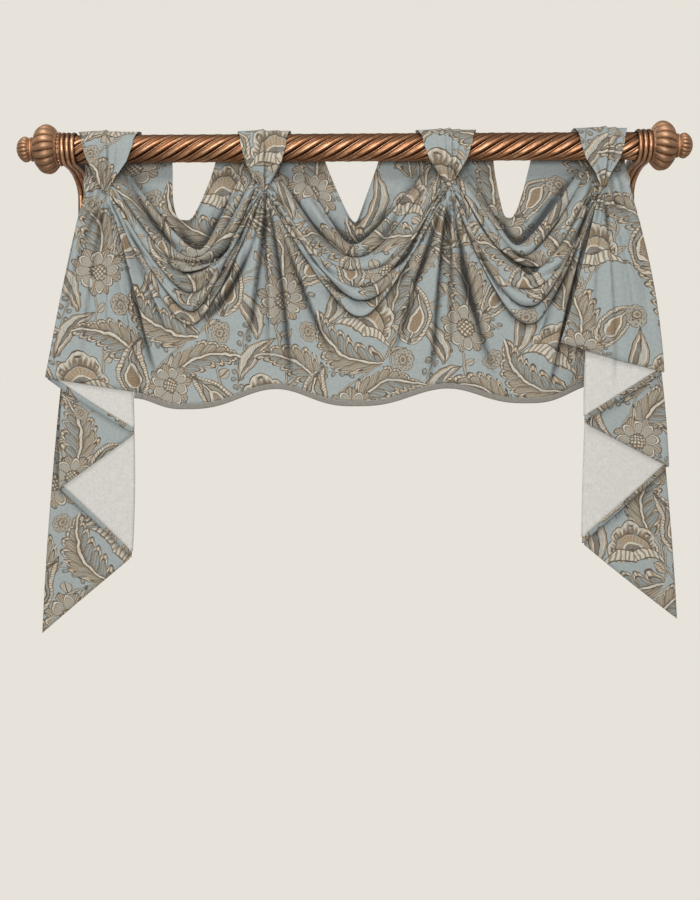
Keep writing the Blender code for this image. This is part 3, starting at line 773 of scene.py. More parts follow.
edge = namedtuple("edge", "topX gatherX midX midZ footX footZ depthHigh depthLow")
tails = {
    "left": (
        edge(-498, -498, -466, -290, -430, -503, -24, -22),
        edge(-553, -543, -587, -288, -625, -471, -18, -14),
        edge(-500, -500, -462, -330, -446, -587, -12, -6),
        edge(-537, -541, -594, -492, -602, -699, -6, 2),
        edge(-500, -501, -452, -500, -455, -842, 0, 10),
        edge(-536, -543, -606, -560, -641, -998, 0, 10),
    ),
    "right": (
        edge(517, 506, 457, -294, 422, -409, -40, -62),
        edge(576, 569, 611, -284, 631, -470, -34, -53),
        edge(519, 518, 484, -330, 472, -569, -28, -44),
        edge(553, 564, 632, -480, 644, -661, -22, -35),
        edge(519, 519, 482, -500, 469, -815, -16, -26),
        edge(552, 563, 648, -740, 662, -971, -16, -26),
    ),
}
tailSizes = {
    "top": -18.0,
    "gather": -92.0,
    "behind": 34.0,
    "behindStep": 8.0,
    "highRows": 10,
    "lowRows": 84,
    "liningFrom": 44,  # the row that the lining starts from
    "layerSteps": 34,
    "turnSteps": 6,
    "turnShade": 0.3,  # how much of the fold shading stays where a layer turns, which the side view shows
    "hemTurn": 13.0,
    "wrinkle": 0.8,
    "seeds": {"left": 3.0, "right": 8.0},
    "calmFrom": {"left": -512, "right": 520},  # from here on towards the middle the panel's edge lies by it
    "calmReach": 10,
    "calmRelief": {"left": 3, "right": 4},
    "ridgesFrom": -96,  # the height below which the furrows and gathered pleats show
    "ridgesReach": 16,
    "rightMove": 150,  # how far along the print the right tail is cut
}


def edgeX(line, z):
    bend = np.polyfit((tailSizes["gather"], line.midZ, line.footZ), (line.gatherX, line.midX, line.footX), 2)
    above = np.interp(z, (tailSizes["gather"], tailSizes["top"]), (line.gatherX, line.topX))
    return np.where(z < tailSizes["gather"], np.polyval(bend, z), above)


def tailStops(count):
    # stops across the tail: layer, share of the layer, turn round its far fold
    stops = [(0, 0.0, None)]
    steps = tailSizes["layerSteps"]
    for layer in range(count):
        stops += [(layer, k / steps, None) for k in range(1, steps)]
        if layer < count - 1:
            turns = np.linspace(-90, 90, tailSizes["turnSteps"] + 1)
            stops += [(layer, 1.0, math.radians(turn)) for turn in turns]
    return stops + [(count - 1, 1.0, None)]


def layerDepth(line, number, z, footZ):
    low = ease((tailSizes["gather"] - z) / (tailSizes["gather"] - footZ))
    front = line.depthHigh + (line.depthLow - line.depthHigh) * low
    share = ease((z - panel["behindToGather"]) / (panel["behindFrom"] - panel["behindToGather"]))
    return front + (tailSizes["behind"] + tailSizes["behindStep"] * number - front) * share


def tailSurface(side):
    lines = tails[side]
    columns, layers = [], []
    for layer, share, turn in tailStops(len(lines) - 1):
        here, after = lines[layer], lines[layer + 1]
        footZ = here.footZ + (after.footZ - here.footZ) * share
        high = np.linspace(tailSizes["top"], tailSizes["gather"], tailSizes["highRows"])[:-1]
        low = np.linspace(tailSizes["gather"], footZ + tailSizes["hemTurn"], tailSizes["lowRows"])
        z = np.concatenate([high, low, [footZ]])
        start, end = edgeX(here, z), edgeX(after, z)
        depth = layerDepth(here, layer, z, footZ)
        back = np.sign(start - end)
        if turn is None:
            x, y = start + (end - start) * share, depth
        else:
            radius = (layerDepth(after, layer + 1, z, footZ) - depth) / 2
            x, y = end + back * radius * (1 - math.cos(turn)), depth + radius * (1 + math.sin(turn))
        columns.append(np.stack([x, y, z], axis=1))
        layers.append(layer + (turn is not None and turn > 0))
    surface = np.stack(columns, axis=1)
    below = ease((tailSizes["ridgesFrom"] - surface[..., 2]) / tailSizes["ridgesReach"])
    ridged = gatherPleats(sinkFurrows(surface.copy(), tailFurrows[side], 1.0))
    creased = sinkCreases(surface.copy(), tailCreases[side])
    relief = (ridged - surface)[..., 1] * below + (creased - surface)[..., 1]
    inward = 1 if side == "left" else -1
    calm = ease(inward * (surface[..., 0] - tailSizes["calmFrom"][side]) / tailSizes["calmReach"])
    # little relief where the left tail lies under the panel's edge, and where the right one lies over it
    most = tailSizes["calmRelief"][side]
    flatter = np.maximum(relief, -most) if side == "left" else np.minimum(relief, most)
    surface[..., 1] += relief + calm * (flatter - relief)
    seed = tailSizes["seeds"][side]
    return wrinkled(surface, tailSizes["wrinkle"], (0.02, 0.007), seed), np.array(layers)


# how each layer's print lies: turned by so many degrees about the tail's gather, then moved along and up
layerPrint = namedtuple("layerPrint", "turn moveU moveV")
layerPrints = (
    layerPrint(0, 0, 0),
    layerPrint(8, 90, 20),
    layerPrint(14, 190, 60),
    layerPrint(20, 300, 20),
    layerPrint(26, 420, 90),
)


def tailFlat(side, surface, layers):
    places = surface[..., [0, 2]] * mm
    sides = []
    for number, row in enumerate(layerPrints):
        turn = math.radians(row.turn if side == "left" else -row.turn)
        mirror = -1 if number % 2 else 1
        u, v = places[..., 0] * mirror, places[..., 1]
        move = (row.moveU + (tailSizes["rightMove"] if side == "right" else 0)) * mm
        turnedU = u * math.cos(turn) - v * math.sin(turn) + move
        turnedV = u * math.sin(turn) + v * math.cos(turn) + row.moveV * mm
        sides.append(np.stack([turnedU, turnedV], axis=2))
    sides = np.array(sides)
    pairs = []
    for column in range(surface.shape[1] - 1):
        layer = layers[column]
        pairs.append(np.stack([sides[layer][:, column], sides[layer][:, column + 1]], axis=1))
    return np.stack(pairs, axis=1)


def sheetNormals(surface):
    normals = np.cross(np.gradient(surface, axis=0), np.gradient(surface, axis=1))
    normals /= np.maximum(np.linalg.norm(normals, axis=-1, keepdims=True), 1e-9)
    return normals * np.sign(normals[0, 0, 1])


rod = {"radius": 28.5, "lobes": 8, "pitch": 264.0, "groove": 4.8, "stepsInLobe": 26, "stepLength": 5.5}
# across one lobe of the rope: a thin raised bead, a groove on its lower side, then the broad round strand
ropeShape = (
    (0.00, 0.96),
    (0.03, 0.74),
    (0.06, 0.34),
    (0.09, 0.08),
    (0.12, 0.00),
    (0.15, 0.06),
    (0.18, 0.22),
    (0.21, 0.40),
    (0.25, 0.52),
    (0.30, 0.54),
    (0.36, 0.46),
    (0.44, 0.31),
    (0.52, 0.17),
    (0.60, 0.10),
    (0.68, 0.13),
    (0.77, 0.31),
    (0.85, 0.60),
    (0.93, 0.88),
    (1.00, 0.96),
)


def meshPiece(name, form, finish, smoothAngle=50):
    # a finished bmesh as an object, its faces pointing outwards
    bmesh.ops.remove_doubles(form, verts=form.verts, dist=0.01 * mm)
    bmesh.ops.recalc_face_normals(form, faces=form.faces)
    mesh = bpy.data.meshes.new(name)
    form.to_mesh(mesh)
    form.free()
    mesh.materials.append(finish.material)
    mesh.shade_smooth()
    mesh.set_sharp_from_angle(angle=math.radians(smoothAngle))
    made = bpy.data.objects.new(name, mesh)
    bpy.context.collection.objects.link(made)
    return made


def makePole(finish):
    form = bmesh.new()
    around = rod["lobes"] * rod["stepsInLobe"]
    bmesh.ops.create_circle(form, segments=around, radius=rod["radius"] * mm, cap_ends=False)
    deep = form.verts.layers.float.new("groove")
    shares, depths = zip(*ropeShape)
    for number, vert in enumerate(form.verts):
        vert[deep] = float(np.interp(number / rod["stepsInLobe"] % 1.0, shares, depths))
        vert.co *= 1 - rod["groove"] * vert[deep] / rod["radius"]
    bmesh.ops.rotate(form, verts=form.verts, matrix=Matrix.Rotation(math.radians(90), 3, "Y"))
    bmesh.ops.translate(form, verts=form.verts, vec=(poleLow[0], axisY, axisZ))
    length = poleHigh[0] - poleLow[0]
    steps = round(length / (rod["stepLength"] * mm))
    bmesh.ops.spin(
        form,
        geom=form.verts[:] + form.edges[:],
        cent=(0, axisY, axisZ),
        axis=(1, 0, 0),
        dvec=(length / steps, 0, 0),
        angle=-2 * math.pi * length / (rod["pitch"] * mm),
        steps=steps,
        use_merge=False,
    )
    for vert in form.verts:
        out = math.hypot(vert.co.y - axisY, vert.co.z - axisZ) / mm
        vert[deep] = (rod["radius"] - out) / rod["groove"]
    openEdges = [line for line in form.edges if line.is_boundary]
    bmesh.ops.holes_fill(form, edges=openEdges, sides=0)
    return meshPiece("rope_pole", form, finish, 120)


ball = {
    "half": 31.0,
    "radius": 50.5,
    "neck": 22.7,  # from the ball's middle to its collar
    "flutes": 17,
    "stepsInFlute": 12,
    "cut": 0.125,
    "flutePull": 0.55,  # how narrow a groove is beside its rib
    "lean": 0.0035,  # radians in each mm out
}
# the finial's outline from the pole out: distance from the ball's middle, radius, how deep its flutes cut
outline = namedtuple("outline", "out radius cut")
neckLine = (outline(-22.7, 34.5, 0), outline(-22.0, 34.8, 0))
knobLine = (
    outline(26.5, 25.5, 0.3),
    outline(27.6, 22.8, 0),
    outline(28.6, 22.2, 0),
    outline(29.4, 23.6, 0),
    outline(31.0, 24.6, 0),
    outline(32.8, 24.4, 0),
    outline(34.0, 22.6, 0),
    outline(34.8, 20.6, 0),
    outline(36.0, 20.4, 0.2),
    outline(37.2, 22.4, 0.8),
    outline(39.5, 24.8, 1),
    outline(43.0, 26.0, 1),
    outline(47.0, 25.9, 1),
    outline(51.5, 23.8, 1),
    outline(55.5, 20.2, 0.9),
    outline(58.8, 15.6, 0.7),
    outline(61.2, 10.4, 0.4),
    outline(62.6, 5.2, 0),
    outline(63.0, 0.0, 0),
)
collars = {"left": 8.0, "right": 1.0}  # their length


def finialOutline(side):
    start = -ball["neck"] - collars[side]
    rows = [outline(start, 0.0, 0), outline(start, 33.2, 0)]
    if side == "left":
        rows += [outline(-30.2, 33.4, 0), outline(-29.2, 31.0, 0)]
        rows += [outline(-24.6, 30.6, 0), outline(-23.8, 33.0, 0)]
    rows += list(neckLine)
    for degrees in range(-40, 58, 7):
        turn = math.radians(degrees)
        rows.append(outline(ball["half"] * math.sin(turn), ball["radius"] * math.cos(turn), 1))
    return rows + list(knobLine)


def makeFinial(side, finish):
    rows = finialOutline(side)
    way = -1 if side == "left" else 1
    reach = (ball["neck"] + collars[side]) * mm
    start = poleLow[0] - reach if side == "left" else poleHigh[0] + reach
    form = bmesh.new()
    deep = form.verts.layers.float.new("groove")
    places = [(start + way * row.out * mm, axisY, axisZ + row.radius * mm) for row in rows]
    verts = [form.verts.new(place) for place in places]
    lines = [form.edges.new(pair) for pair in zip(verts[:-1], verts[1:])]
    bmesh.ops.spin(
        form,
        geom=verts + lines,
        cent=(start, axisY, axisZ),
        axis=(1, 0, 0),
        angle=2 * math.pi,
        steps=ball["flutes"] * ball["stepsInFlute"],
        use_merge=True,
    )
    bmesh.ops.remove_doubles(form, verts=form.verts, dist=0.02 * mm)
    outs = [row.out for row in rows]
    cuts = [row.cut for row in rows]
    for vert in form.verts:
        out = (vert.co.x - start) * way / mm
        y, z = vert.co.y - axisY, vert.co.z - axisZ
        turn = math.atan2(y, z) + ball["lean"] * out
        share = np.interp(out, outs, cuts)
        rib = abs(math.sin(ball["flutes"] * turn / 2))
        hollow = (1 - rib ** ball["flutePull"]) * share
        vert[deep] = hollow
        vert.co.y = axisY + y * (1 - ball["cut"] * hollow)
        vert.co.z = axisZ + z * (1 - ball["cut"] * hollow)
    return meshPiece(f"fluted_finial_{side}", form, finish, 60)


# beads round the left finial's collar
beads = {"count": 22, "radius": 2.7, "ring": 32.0, "out": -26.9}


def makeBeads(finish):
    form = bmesh.new()
    start = poleLow[0] - (ball["neck"] + collars["left"]) * mm
    for number in range(beads["count"]):
        turn = 2 * math.pi * number / beads["count"]
        place = Vector((start - beads["out"] * mm, axisY, axisZ))
        place += Vector((0, math.sin(turn), math.cos(turn))) * beads["ring"] * mm
        spot = Matrix.Translation(place)
        bmesh.ops.create_uvsphere(form, u_segments=12, v_segments=8, radius=beads["radius"] * mm, matrix=spot)
    return meshPiece("collar_beads", form, finish)


strap = {
    "width": 31.0,
    "thick": 4.5,
    "reeds": 3,
    "reedRise": 3.2,
    "stepsInReed": 10,
    "cup": 31.75,
    # places down the arm: depth and height from the pole's axis
    "arm": ((22, -31.5), (52, -31), (85, -34.5), (113, -42), (132, -52)),
    "legTop": -66,
    "legHalf": 24,  # the flat leg's half height about the middle of its wall plate
    "web": 19.0,
    "webFrom": 22,  # the depth where the web under the arm begins, and
    "webReach": 30,  # how much further it is whole
    "webFoot": -75,  # the height where it ends on the leg, and
    "webFade": 15,  # how much higher it is whole
    "backWear": 0.7,  # painted shade: how dark the back and the web under the arm are, given as a groove depth
}


def strapPath():
    # middle line of the strap: depth and height from the pole's axis, in mm
    turns = np.radians(np.linspace(125, -90, 44))
    path = [(-strap["cup"] * math.cos(turn), strap["cup"] * math.sin(turn)) for turn in turns]
    leg = -axisY / mm - strap["thick"] / 2
    wall = axisZ / mm
    bend = [path[-1], *strap["arm"], (leg, strap["legTop"])]
    # a smooth arm through those places, then the flat leg on the wall
    fine = []
    for k in range(len(bend) - 1):
        a, b, c, d = (np.array(bend[min(max(k + j, 0), len(bend) - 1)]) for j in (-1, 0, 1, 2))
        for t in np.linspace(0, 1, 8)[:-1]:
            square = (2 * a - 5 * b + 4 * c - d) * t**2
            cube = (3 * b - a - 3 * c + d) * t**3
            fine.append(tuple(0.5 * (2 * b + (c - a) * t + square + cube)))
    ends = [strap["legTop"], -wall + strap["legHalf"], -wall - strap["legHalf"]]
    return np.array(path[:-1] + fine + [(leg, end) for end in ends])


def strapSection():
    half = strap["width"] / 2
    steps = strap["reeds"] * strap["stepsInReed"]
    front = []
    for k in range(steps + 1):
        across = strap["width"] * k / steps - half
        arch = abs(math.sin(math.pi * k / strap["stepsInReed"])) ** 0.6
        front.append((across, strap["thick"] / 2 - strap["reedRise"] * (1 - arch)))
    return front + [(half, -strap["thick"] / 2), (-half, -strap["thick"] / 2)]


def makeBracket(side, finish):
    path = strapPath()
    heading = np.gradient(path, axis=0)
    heading[-1] = heading[-2] = (0, -1)
    heading /= np.linalg.norm(heading, axis=1)[:, None]
    low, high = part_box(f"bracket_{side}")
    middleX = (low[0] + high[0]) / 2
    section = strapSection()
    wallDepth = -axisY / mm
    form = bmesh.new()
    deep = form.verts.layers.float.new("groove")
    place = form.verts.layers.int.new("place")

    def settle(verts, station):
        (y, z), (dy, dz) = path[station], heading[station]
        outward = ease((y - strap["webFrom"]) / strap["webReach"])
        web = strap["web"] * float(outward * ease((z - strap["webFoot"]) / strap["webFade"]))
        for vert in verts:
            across, out = section[vert[place]]
            out -= web if vert[place] >= len(section) - 2 else 0
            depth = min(y + dz * out, wallDepth)  # the web ends on the wall
            vert.co = (middleX + across * mm, axisY + depth * mm, axisZ + (z - dy * out) * mm)

    for number, (_, out) in enumerate(section):
        vert = form.verts.new()
        vert[place] = number
        back = number >= len(section) - 2
        # the back takes its painted shade as a groove depth
        vert[deep] = strap["backWear"] if back else (strap["thick"] / 2 - out) / strap["reedRise"]
    settle(form.verts, 0)
    end = form.faces.new(form.verts)
    for station in range(1, len(path)):
        grown = bmesh.ops.extrude_face_region(form, geom=[end], use_keep_orig=station == 1)
        end = next(item for item in grown["geom"] if isinstance(item, bmesh.types.BMFace))
        settle(end.verts, station)
    return meshPiece(f"reeded_bracket_{side}", form, finish, 60)


def metalFinish(name, bright, middle, dark, roughness, wear, over, under):
    # a metallic paint, darkened in its grooves by patina and painted shade, and rubbed on its ridges
    made = Finish(name, Metallic=1.0)
    place = made.coordinates("Object")
    deep = made.node("ShaderNodeAttribute", {"attribute_name": "groove"}, {}, "Fac")
    blotch = made.noise(place, 55.0, 4.0)
    fine = made.noise(place, 420.0, 3.0)
    # the grooves' darkening: patina, with painted shade
    patinaAndShade = (deep + (blotch - 0.5) * 0.35).rising(0.35, 0.95)
    rub = (blotch * 0.6 + fine * 0.4 - deep * 0.5).rising(0.30, 0.62)
    colour = made.blend(rub * wear, middle, bright)
    colour = made.blend(patinaAndShade, colour, dark)
    # painted shade: the underside and the top are darker, as the light falls
    _, _, height = made.parts(place)
    rise = (height - axisZ) / (rod["radius"] * mm)
    colour = made.blend((-rise).rising(-0.5, 1.1) * under, colour, dark)
    colour = made.blend(rise.rising(0.25, 1.05) * over, colour, dark)
    made.set(BaseColor=colour, Roughness=(patinaAndShade * 0.22 + fine * 0.10 + roughness).min(1.0))
    made.bump(fine * 0.6 + blotch * 0.4, 0.06, 0.0005)
    return made


def plainCloth(name, light, dark, across, along, depth):
    # an unprinted cloth with a slubbed weave on its own flat places
    made = Finish(name, Roughness=0.95, SheenWeight=0.15, SheenRoughness=0.5)
    place = made.coordinates("UV")
    wefts = made.noise(made.vector("MULTIPLY", place, (across, along, 1.0)), 1.0, 3.0, 0.7)
    warps = made.noise(made.vector("MULTIPLY", place, (along, across, 1.0)), 1.0, 3.0, 0.7)
    slub = (wefts + warps) * 0.5
    made.set(BaseColor=made.blend(slub.rising(0.36, 0.64), dark, light))
    made.bump(slub, 0.4, depth)
    return made


# the print: one repeat of motifs in mm, each kind drawn once at its nearest place
repeat = {
    "width": 380.0,
    "height": 430.0,
    "slant": 9.0,
    "sway": 30.0,
    "swayScale": 0.011,
    "waver": 9.0,
    "waverScale": 0.05,
}
inks = {
    "ground": paint(149, 159, 161),
    "groundDark": paint(136, 146, 148),
    "cream": paint(194, 188, 175),
    "sand": paint(157, 149, 135),
    "taupe": paint(128, 117, 99),
    "brown": paint(102, 86, 66),
    "ochre": paint(146, 124, 97),
    "line": paint(66, 57, 46),
    "slate": paint(104, 112, 112),
    "mist": paint(136, 143, 142),
    "deep": (0.09, 0.095, 0.1),  # painted shade: what is left of any colour at the bottom of a fold
}
motif = namedtuple("motif", "x y turn size mirror")
plumes = (
    motif(50, 22, 150, 84, 1),
    motif(160, 168, 62, 78, 1),
    motif(262, 186, 118, 84, -1),
    motif(60, 240, 128, 80, -1),
    motif(148, 372, 30, 84, 1),
    motif(338, 392, 160, 80, -1),
)
blades = (
    motif(20, 110, 80, 66, 1),
    motif(232, 262, 20, 62, -1),
    motif(228, 60, 130, 64, 1),
    motif(120, 225, 100, 60, 1),
    motif(255, 400, 60, 60, -1),
)
paisleys = (
    motif(190, 108, 80, 66, 1),
    motif(8, 336, 112, 66, -1),
    motif(196, 312, 128, 60, 1),
    motif(352, 178, 60, 58, -1),
)
blooms = (motif(292, 98, 12, 54, 1), motif(92, 318, 40, 50, 1), motif(182, 222, 0, 35, 1))
palmettes = (motif(98, 92, -14, 66, 1), motif(286, 318, 18, 68, 1))
rosettes = (
    motif(178, 12, 0, 24, 1),
    motif(14, 196, 0, 25, 1),
    motif(262, 232, 0, 20, 1),
    motif(352, 40, 0, 21, 1),
)
sprigs = (
    motif(238, 20, 70, 42, 1),
    motif(92, 176, -35, 38, 1),
    motif(330, 130, 120, 38, 1),
    motif(150, 274, 160, 36, 1),
    motif(48, 398, 10, 40, 1),
    motif(232, 362, 95, 38, 1),
)


def nearestMotif(made, place, motifs, narrow=1.0):
    # the motif's own coordinates, 1 at its full size, round whichever of its kind is nearest
    width, height = repeat["width"], repeat["height"]
    chosen = closest = None
    for one in motifs:
        away = made.vector("SUBTRACT", place, (one.x, one.y, 0))
        away = made.vector("WRAP", away, (width / 2, height / 2, 1), (-width / 2, -height / 2, -1))
        turn = math.radians(one.turn) * -one.mirror
        scale = (1 / one.size, one.mirror / one.size, 1)
        local = made.node("ShaderNodeMapping", {"vector_type": "POINT"}, {0: away, 2: (0, 0, turn), 3: scale})
        reach = local if narrow == 1.0 else made.vector("MULTIPLY", local, (1, narrow, 1))
        distance = made.vector("LENGTH", reach, output=1)
        if chosen is None:
            chosen, closest = local, distance
        else:
            chosen = made.pick(distance < closest, chosen, local)
            closest = closest.min(distance)
    return chosen, closest


def drawPlume(made, x, y, radius):
    # a long curved leaf with round lobes, a pale rim and pen strokes that leave its rib
    bent = y + 0.42 * x * x - 0.18
    side = abs(bent)
    width = (1 - x * x).max(0.0) ** 0.55 * (0.46 - 0.14 * x)
    swing = (x - side * 1.1) * 3.4
    lobe = abs((swing * math.pi).sin())
    inside = width * (0.62 + lobe.root() * 0.38) - side
    stroke = (swing * 3.0).fract()
    lower = bent < 0
    leaf = made.blend(stroke.rising(0.1, 0.95), "taupe", "sand")
    field = made.blend(stroke.rising(0.2, 0.8), "slate", "mist")
    rim = made.blend(stroke > 0.5, "ochre", "cream")
    lines = (side < 0.055).max(abs(inside - 0.115) < 0.018).max(inside < 0.038)
    return inside > 0, made.coated(
        leaf,
        ((inside > 0.12) * (lower * 0.85 + 0.1), field),
        ((0.16 - side).rising(0.0, 0.16) * 0.8, "brown"),
        ((lobe < 0.30) * (side > 0.05), "brown"),
        ((inside < 0.10) * (inside > 0.035), rim),
        (lines, "line"),
        (side < 0.026, "cream"),
    )


def drawBlade(made, x, y, radius):
    # a narrow pointed leaf, pale and barred on one side and dark on the other
    bent = y - 0.30 * x * x + 0.12
    side = abs(bent)
    inside = (1 - x * x).max(0.0) * 0.30 - side
    bars = ((x - side * 1.6) * 11).fract()
    pale = made.blend(bars.rising(0.2, 0.8), "cream", "mist")
    dark = made.blend(bars > 0.6, "brown", "slate")
    rim = made.blend(bars > 0.5, "ochre", "sand")
    return inside > 0, made.coated(
        made.blend(bent > 0, pale, dark),
        (inside < 0.10, rim),
        (abs(inside - 0.115) < 0.018, "cream"),
        ((side < 0.02).max(inside < 0.034), "line"),
    )


def dropWidth(share):
    # half width of a teardrop whose share runs from its round end to its point
    kept = share.max(0.0)
    return kept.root() * (1 - kept).max(0.0) ** 0.8 * 1.16


def drawPaisley(made, x, y, radius):
    # a teardrop with a curled point: fringed border, hatched field and a small drop in its middle
    share = x * 0.5 + 0.5
    curl = (share - 0.42).max(0.0)
    bent = y - curl * curl * 1.5
    side = abs(bent)
    fringe = (share * 21 - side * 5).fract()
    outer = dropWidth(share) * (0.93 + fringe * 0.07) - side
    middle, inner = (dropWidth((share - 0.33) * small + 0.33) - side * small for small in (1.42, 2.3))
    hatch = ((x + y) * 14).fract()
    cross = ((x - y) * 14).fract()
    field = made.blend((hatch < 0.3).max(cross < 0.3), "slate", "sand")
    heart = made.blend(hatch > 0.5, "brown", "ochre")
    return outer > 0, made.coated(
        made.blend(fringe > 0.62, "cream", "ochre"),
        ((outer < 0.16) * (outer > 0.13), "line"),
        (outer > 0.16, "sand"),
        (middle > 0, field),
        ((inner + 0.1) > 0, made.blend((inner - 0.12) > 0, "cream", heart)),
        ((outer < 0.03).max(abs(middle) < 0.03).max(abs(inner + 0.1) < 0.05), "line"),
    )


def drawBloom(made, x, y, radius):
    # an open flower: eight pale petals over eight darker ones, and a seeded heart
    turn = y.angle(x)
    front = abs((turn * 4).cos())
    behind = abs((turn * 4).sin())
    frontEdge = 0.50 + front**0.8 * 0.36 - radius
    backEdge = 0.52 + behind**1.1 * 0.48 - radius
    vein = abs((turn * 28 + radius * 3).sin())
    petal = made.coated(
        made.blend((radius + vein * 0.22).rising(0.36, 0.80), "taupe", "cream"),
        ((frontEdge > 0.13) * (front > 0.3), made.blend(vein > 0.5, "mist", "sand")),
        (abs(frontEdge - 0.13) < 0.016, "brown"),
        ((frontEdge < 0.045).max(front < 0.13), "line"),
    )
    seeds = (x * 34).sin() * (y * 34).sin()
    scallops = 0.30 + abs((turn * 7).cos()) * 0.06 - radius
    heart = made.blend(seeds > 0.2, "brown", "cream")
    return backEdge.max(frontEdge) > 0, made.coated(
        made.blend(vein.rising(0.2, 0.9), "brown", "sand"),
        (backEdge < 0.045, "line"),
        (frontEdge > 0, petal),
        (scallops > 0, made.blend(scallops < 0.05, heart, "line")),
    )


def drawPalmette(made, x, y, radius):
    # a tall domed flower: scalloped dotted rim, two inner arches and a pair of sepals at its foot
    foot = y + 0.62
    turn = x.angle(foot)
    reach = (x * x * 1.5 + foot * foot * 0.72).root()
    spread = abs(turn)
    lobe = abs((turn * 5.5).cos())
    outer = 1.02 + lobe.root() * 0.14 - spread * 0.10 - reach
    arch = 0.80 - spread * 0.05 - reach
    inner = 0.52 - reach
    core = 0.30 - reach
    rib = abs((turn * 22).sin())
    dots = (lobe > 0.93) * (abs(outer - 0.14) < 0.03)
    band = made.blend((rib > 0.45) * (arch > 0.07), "sand", "ochre")
    field = made.blend((reach * 17).fract() > 0.5, "slate", "brown")
    wing = abs(x)
    sepal = 0.20 - abs(y + 0.50 - wing * 0.55 + wing * wing * 0.8) - wing * wing * 0.16
    leaf = made.blend((wing * 7 + y * 2).fract() > 0.4, "taupe", "cream")
    return ((outer > 0) * (foot > 0)).max(sepal > 0), made.coated(
        made.blend((outer * 2.6 + rib * 0.4).rising(0.35, 1.0), "cream", "brown"),
        (dots.max(outer < 0.035), "line"),
        (arch > 0, made.blend(arch < 0.045, band, "line")),
        (inner > 0, made.blend(inner < 0.05, field, "cream")),
        (core > 0, "cream"),
        (abs(core) < 0.03, "line"),
        (sepal > 0, made.blend(sepal < 0.035, leaf, "line")),
    )


def drawRosette(made, x, y, radius):
    # a ring of round beads about a dot
    cell = (y.angle(x) * (9 / (2 * math.pi))).fract() - 0.5
    bead = ((radius - 0.66) * (radius - 0.66) + cell * cell * 0.19).root()
    return ((bead < 0.28) * (radius > 0.5)).max(radius < 0.52), made.coated(
        made.blend(bead < 0.10, "sand", "slate"),
        ((bead > 0.23) * (radius > 0.42), "line"),
        ((radius < 0.38) * (radius > 0.30), "line"),
        (radius < 0.16, "brown"),
    )


def drawSprig(made, x, y, radius):
    # a thin curved stem with round berries in pairs
    side = abs(y + 0.3 * x * x - 0.1)
    cell = (x * 2.2).fract() - 0.5
    berry = (cell * cell * 0.207 + (side - 0.21) * (side - 0.21)).root()
    return (berry < 0.145).max(side < 0.035) * (abs(x) < 0.92), made.coated(
        made.blend(berry < 0.115, "line", "slate"),
        ((berry < 0.075) * (cell > 0), "sand"),
        (side < 0.03, "taupe"),
    )


def drawVine(made, x, y, start, sway, phase):
    # a double stem that winds up the cloth, with small leaves on alternate sides
    rise = y * (2 * math.pi / repeat["height"]) + phase
    way = x - start - rise.sin() * sway - (rise * 2).sin() * 9
    way = way.wrap(repeat["width"] / 2, -repeat["width"] / 2)
    leaves = 9  # in each repeat
    cells = y * (leaves / repeat["height"])
    odd = (cells * 0.5).fract() > 0.5
    outward = way * (odd * 2 - 1)
    up = (cells.fract() - 0.35) * (repeat["height"] / leaves)
    along = outward * 0.80 + up * 0.60 - 17
    off = abs(up * 0.80 - outward * 0.60)
    leaf = (1 - along * along * 0.0038) * 9.0 - off
    side = abs(way)
    stem = made.blend(side > 1.6, "sand", "line")
    return ((leaf > 0) * (outward > 0)).max(side < 2.8), made.coated(
        made.blend((along * 0.35 - off * 0.5).fract() > 0.5, "taupe", "cream"),
        ((leaf < 1.4).max(off < 0.8), "line"),
        (side < 2.8, stem),
    )


def printedCloth():
    made = Finish("printed cotton", Roughness=0.92, SheenWeight=0.08, SheenRoughness=0.5)
    flat = made.vector("MULTIPLY", made.coordinates("UV"), (1000, 1000, 1000))
    place = flat
    for reach, scale in (("sway", "swayScale"), ("waver", "waverScale")):
        drift = made.vector("SUBTRACT", made.noise(flat, repeat[scale], 1.0, output=1), (0.5, 0.5, 0.5))
        place = made.vector("MULTIPLY_ADD", drift, (repeat[reach], repeat[reach], 0), place)
    slant = (0, 0, math.radians(repeat["slant"]))
    place = made.node("ShaderNodeMapping", {"vector_type": "POINT"}, {0: place, 2: slant})
    x, y, _ = made.parts(place)
    grain = made.noise(flat, 0.9, 3.0, 0.7)
    mottle = made.noise(flat, 0.16, 4.0, 0.75)
    ground = made.blend(mottle.rising(0.35, 0.65), "groundDark", "ground")
    layers = [
        drawVine(made, x, y, 105, 46, 0.4),
        drawVine(made, x, y, 290, 40, 2.6),
        drawVine(made, x, y, 200, -52, 1.4),
    ]
    for draw, motifs, narrow in (
        (drawSprig, sprigs, 1.0),
        (drawBlade, blades, 2.6),
        (drawPlume, plumes, 2.2),
        (drawPaisley, paisleys, 1.6),
        (drawPalmette, palmettes, 1.0),
        (drawRosette, rosettes, 1.0),
        (drawBloom, blooms, 1.0),
    ):
        local, radius = nearestMotif(made, place, motifs, narrow)
        localX, localY, _ = made.parts(local)
        layers.append(draw(made, localX, localY, radius))
    inked = 0
    for mask, _ in layers:
        inked = mask.max(inked)
    wash = made.noise(flat, 0.055, 3.0, 0.6)
    speck = made.noise(flat, 0.55, 2.0, 0.6)
    colour = made.coated(
        ground,
        *layers,
        (inked * wash.rising(0.50, 0.68) * 0.45, "mist"),
        (inked * (1 - wash).rising(0.52, 0.70) * 0.40, "ochre"),
        (inked * speck.rising(0.50, 0.62) * 0.34, "line"),
        (inked * (1 - speck).rising(0.56, 0.66) * 0.30, "cream"),
        (mottle.rising(0.40, 0.75) * 0.16, "taupe"),
        ((grain - 0.5).rising(-0.2, 0.3) * 0.14, "sand"),
    )
    # painted shade: the print is darkened in the folds and creases by the hollow attribute
    hollow = made.node("ShaderNodeAttribute", {"attribute_name": "hollow"}, {}, 2)
    deep = made.vector("MULTIPLY", colour, inks["deep"])
    colour = made.blend(hollow * cloth["hollowDark"], colour, deep)
    made.set(BaseColor=colour)
    made.bump(grain, 0.25, 0.0004)
    return made


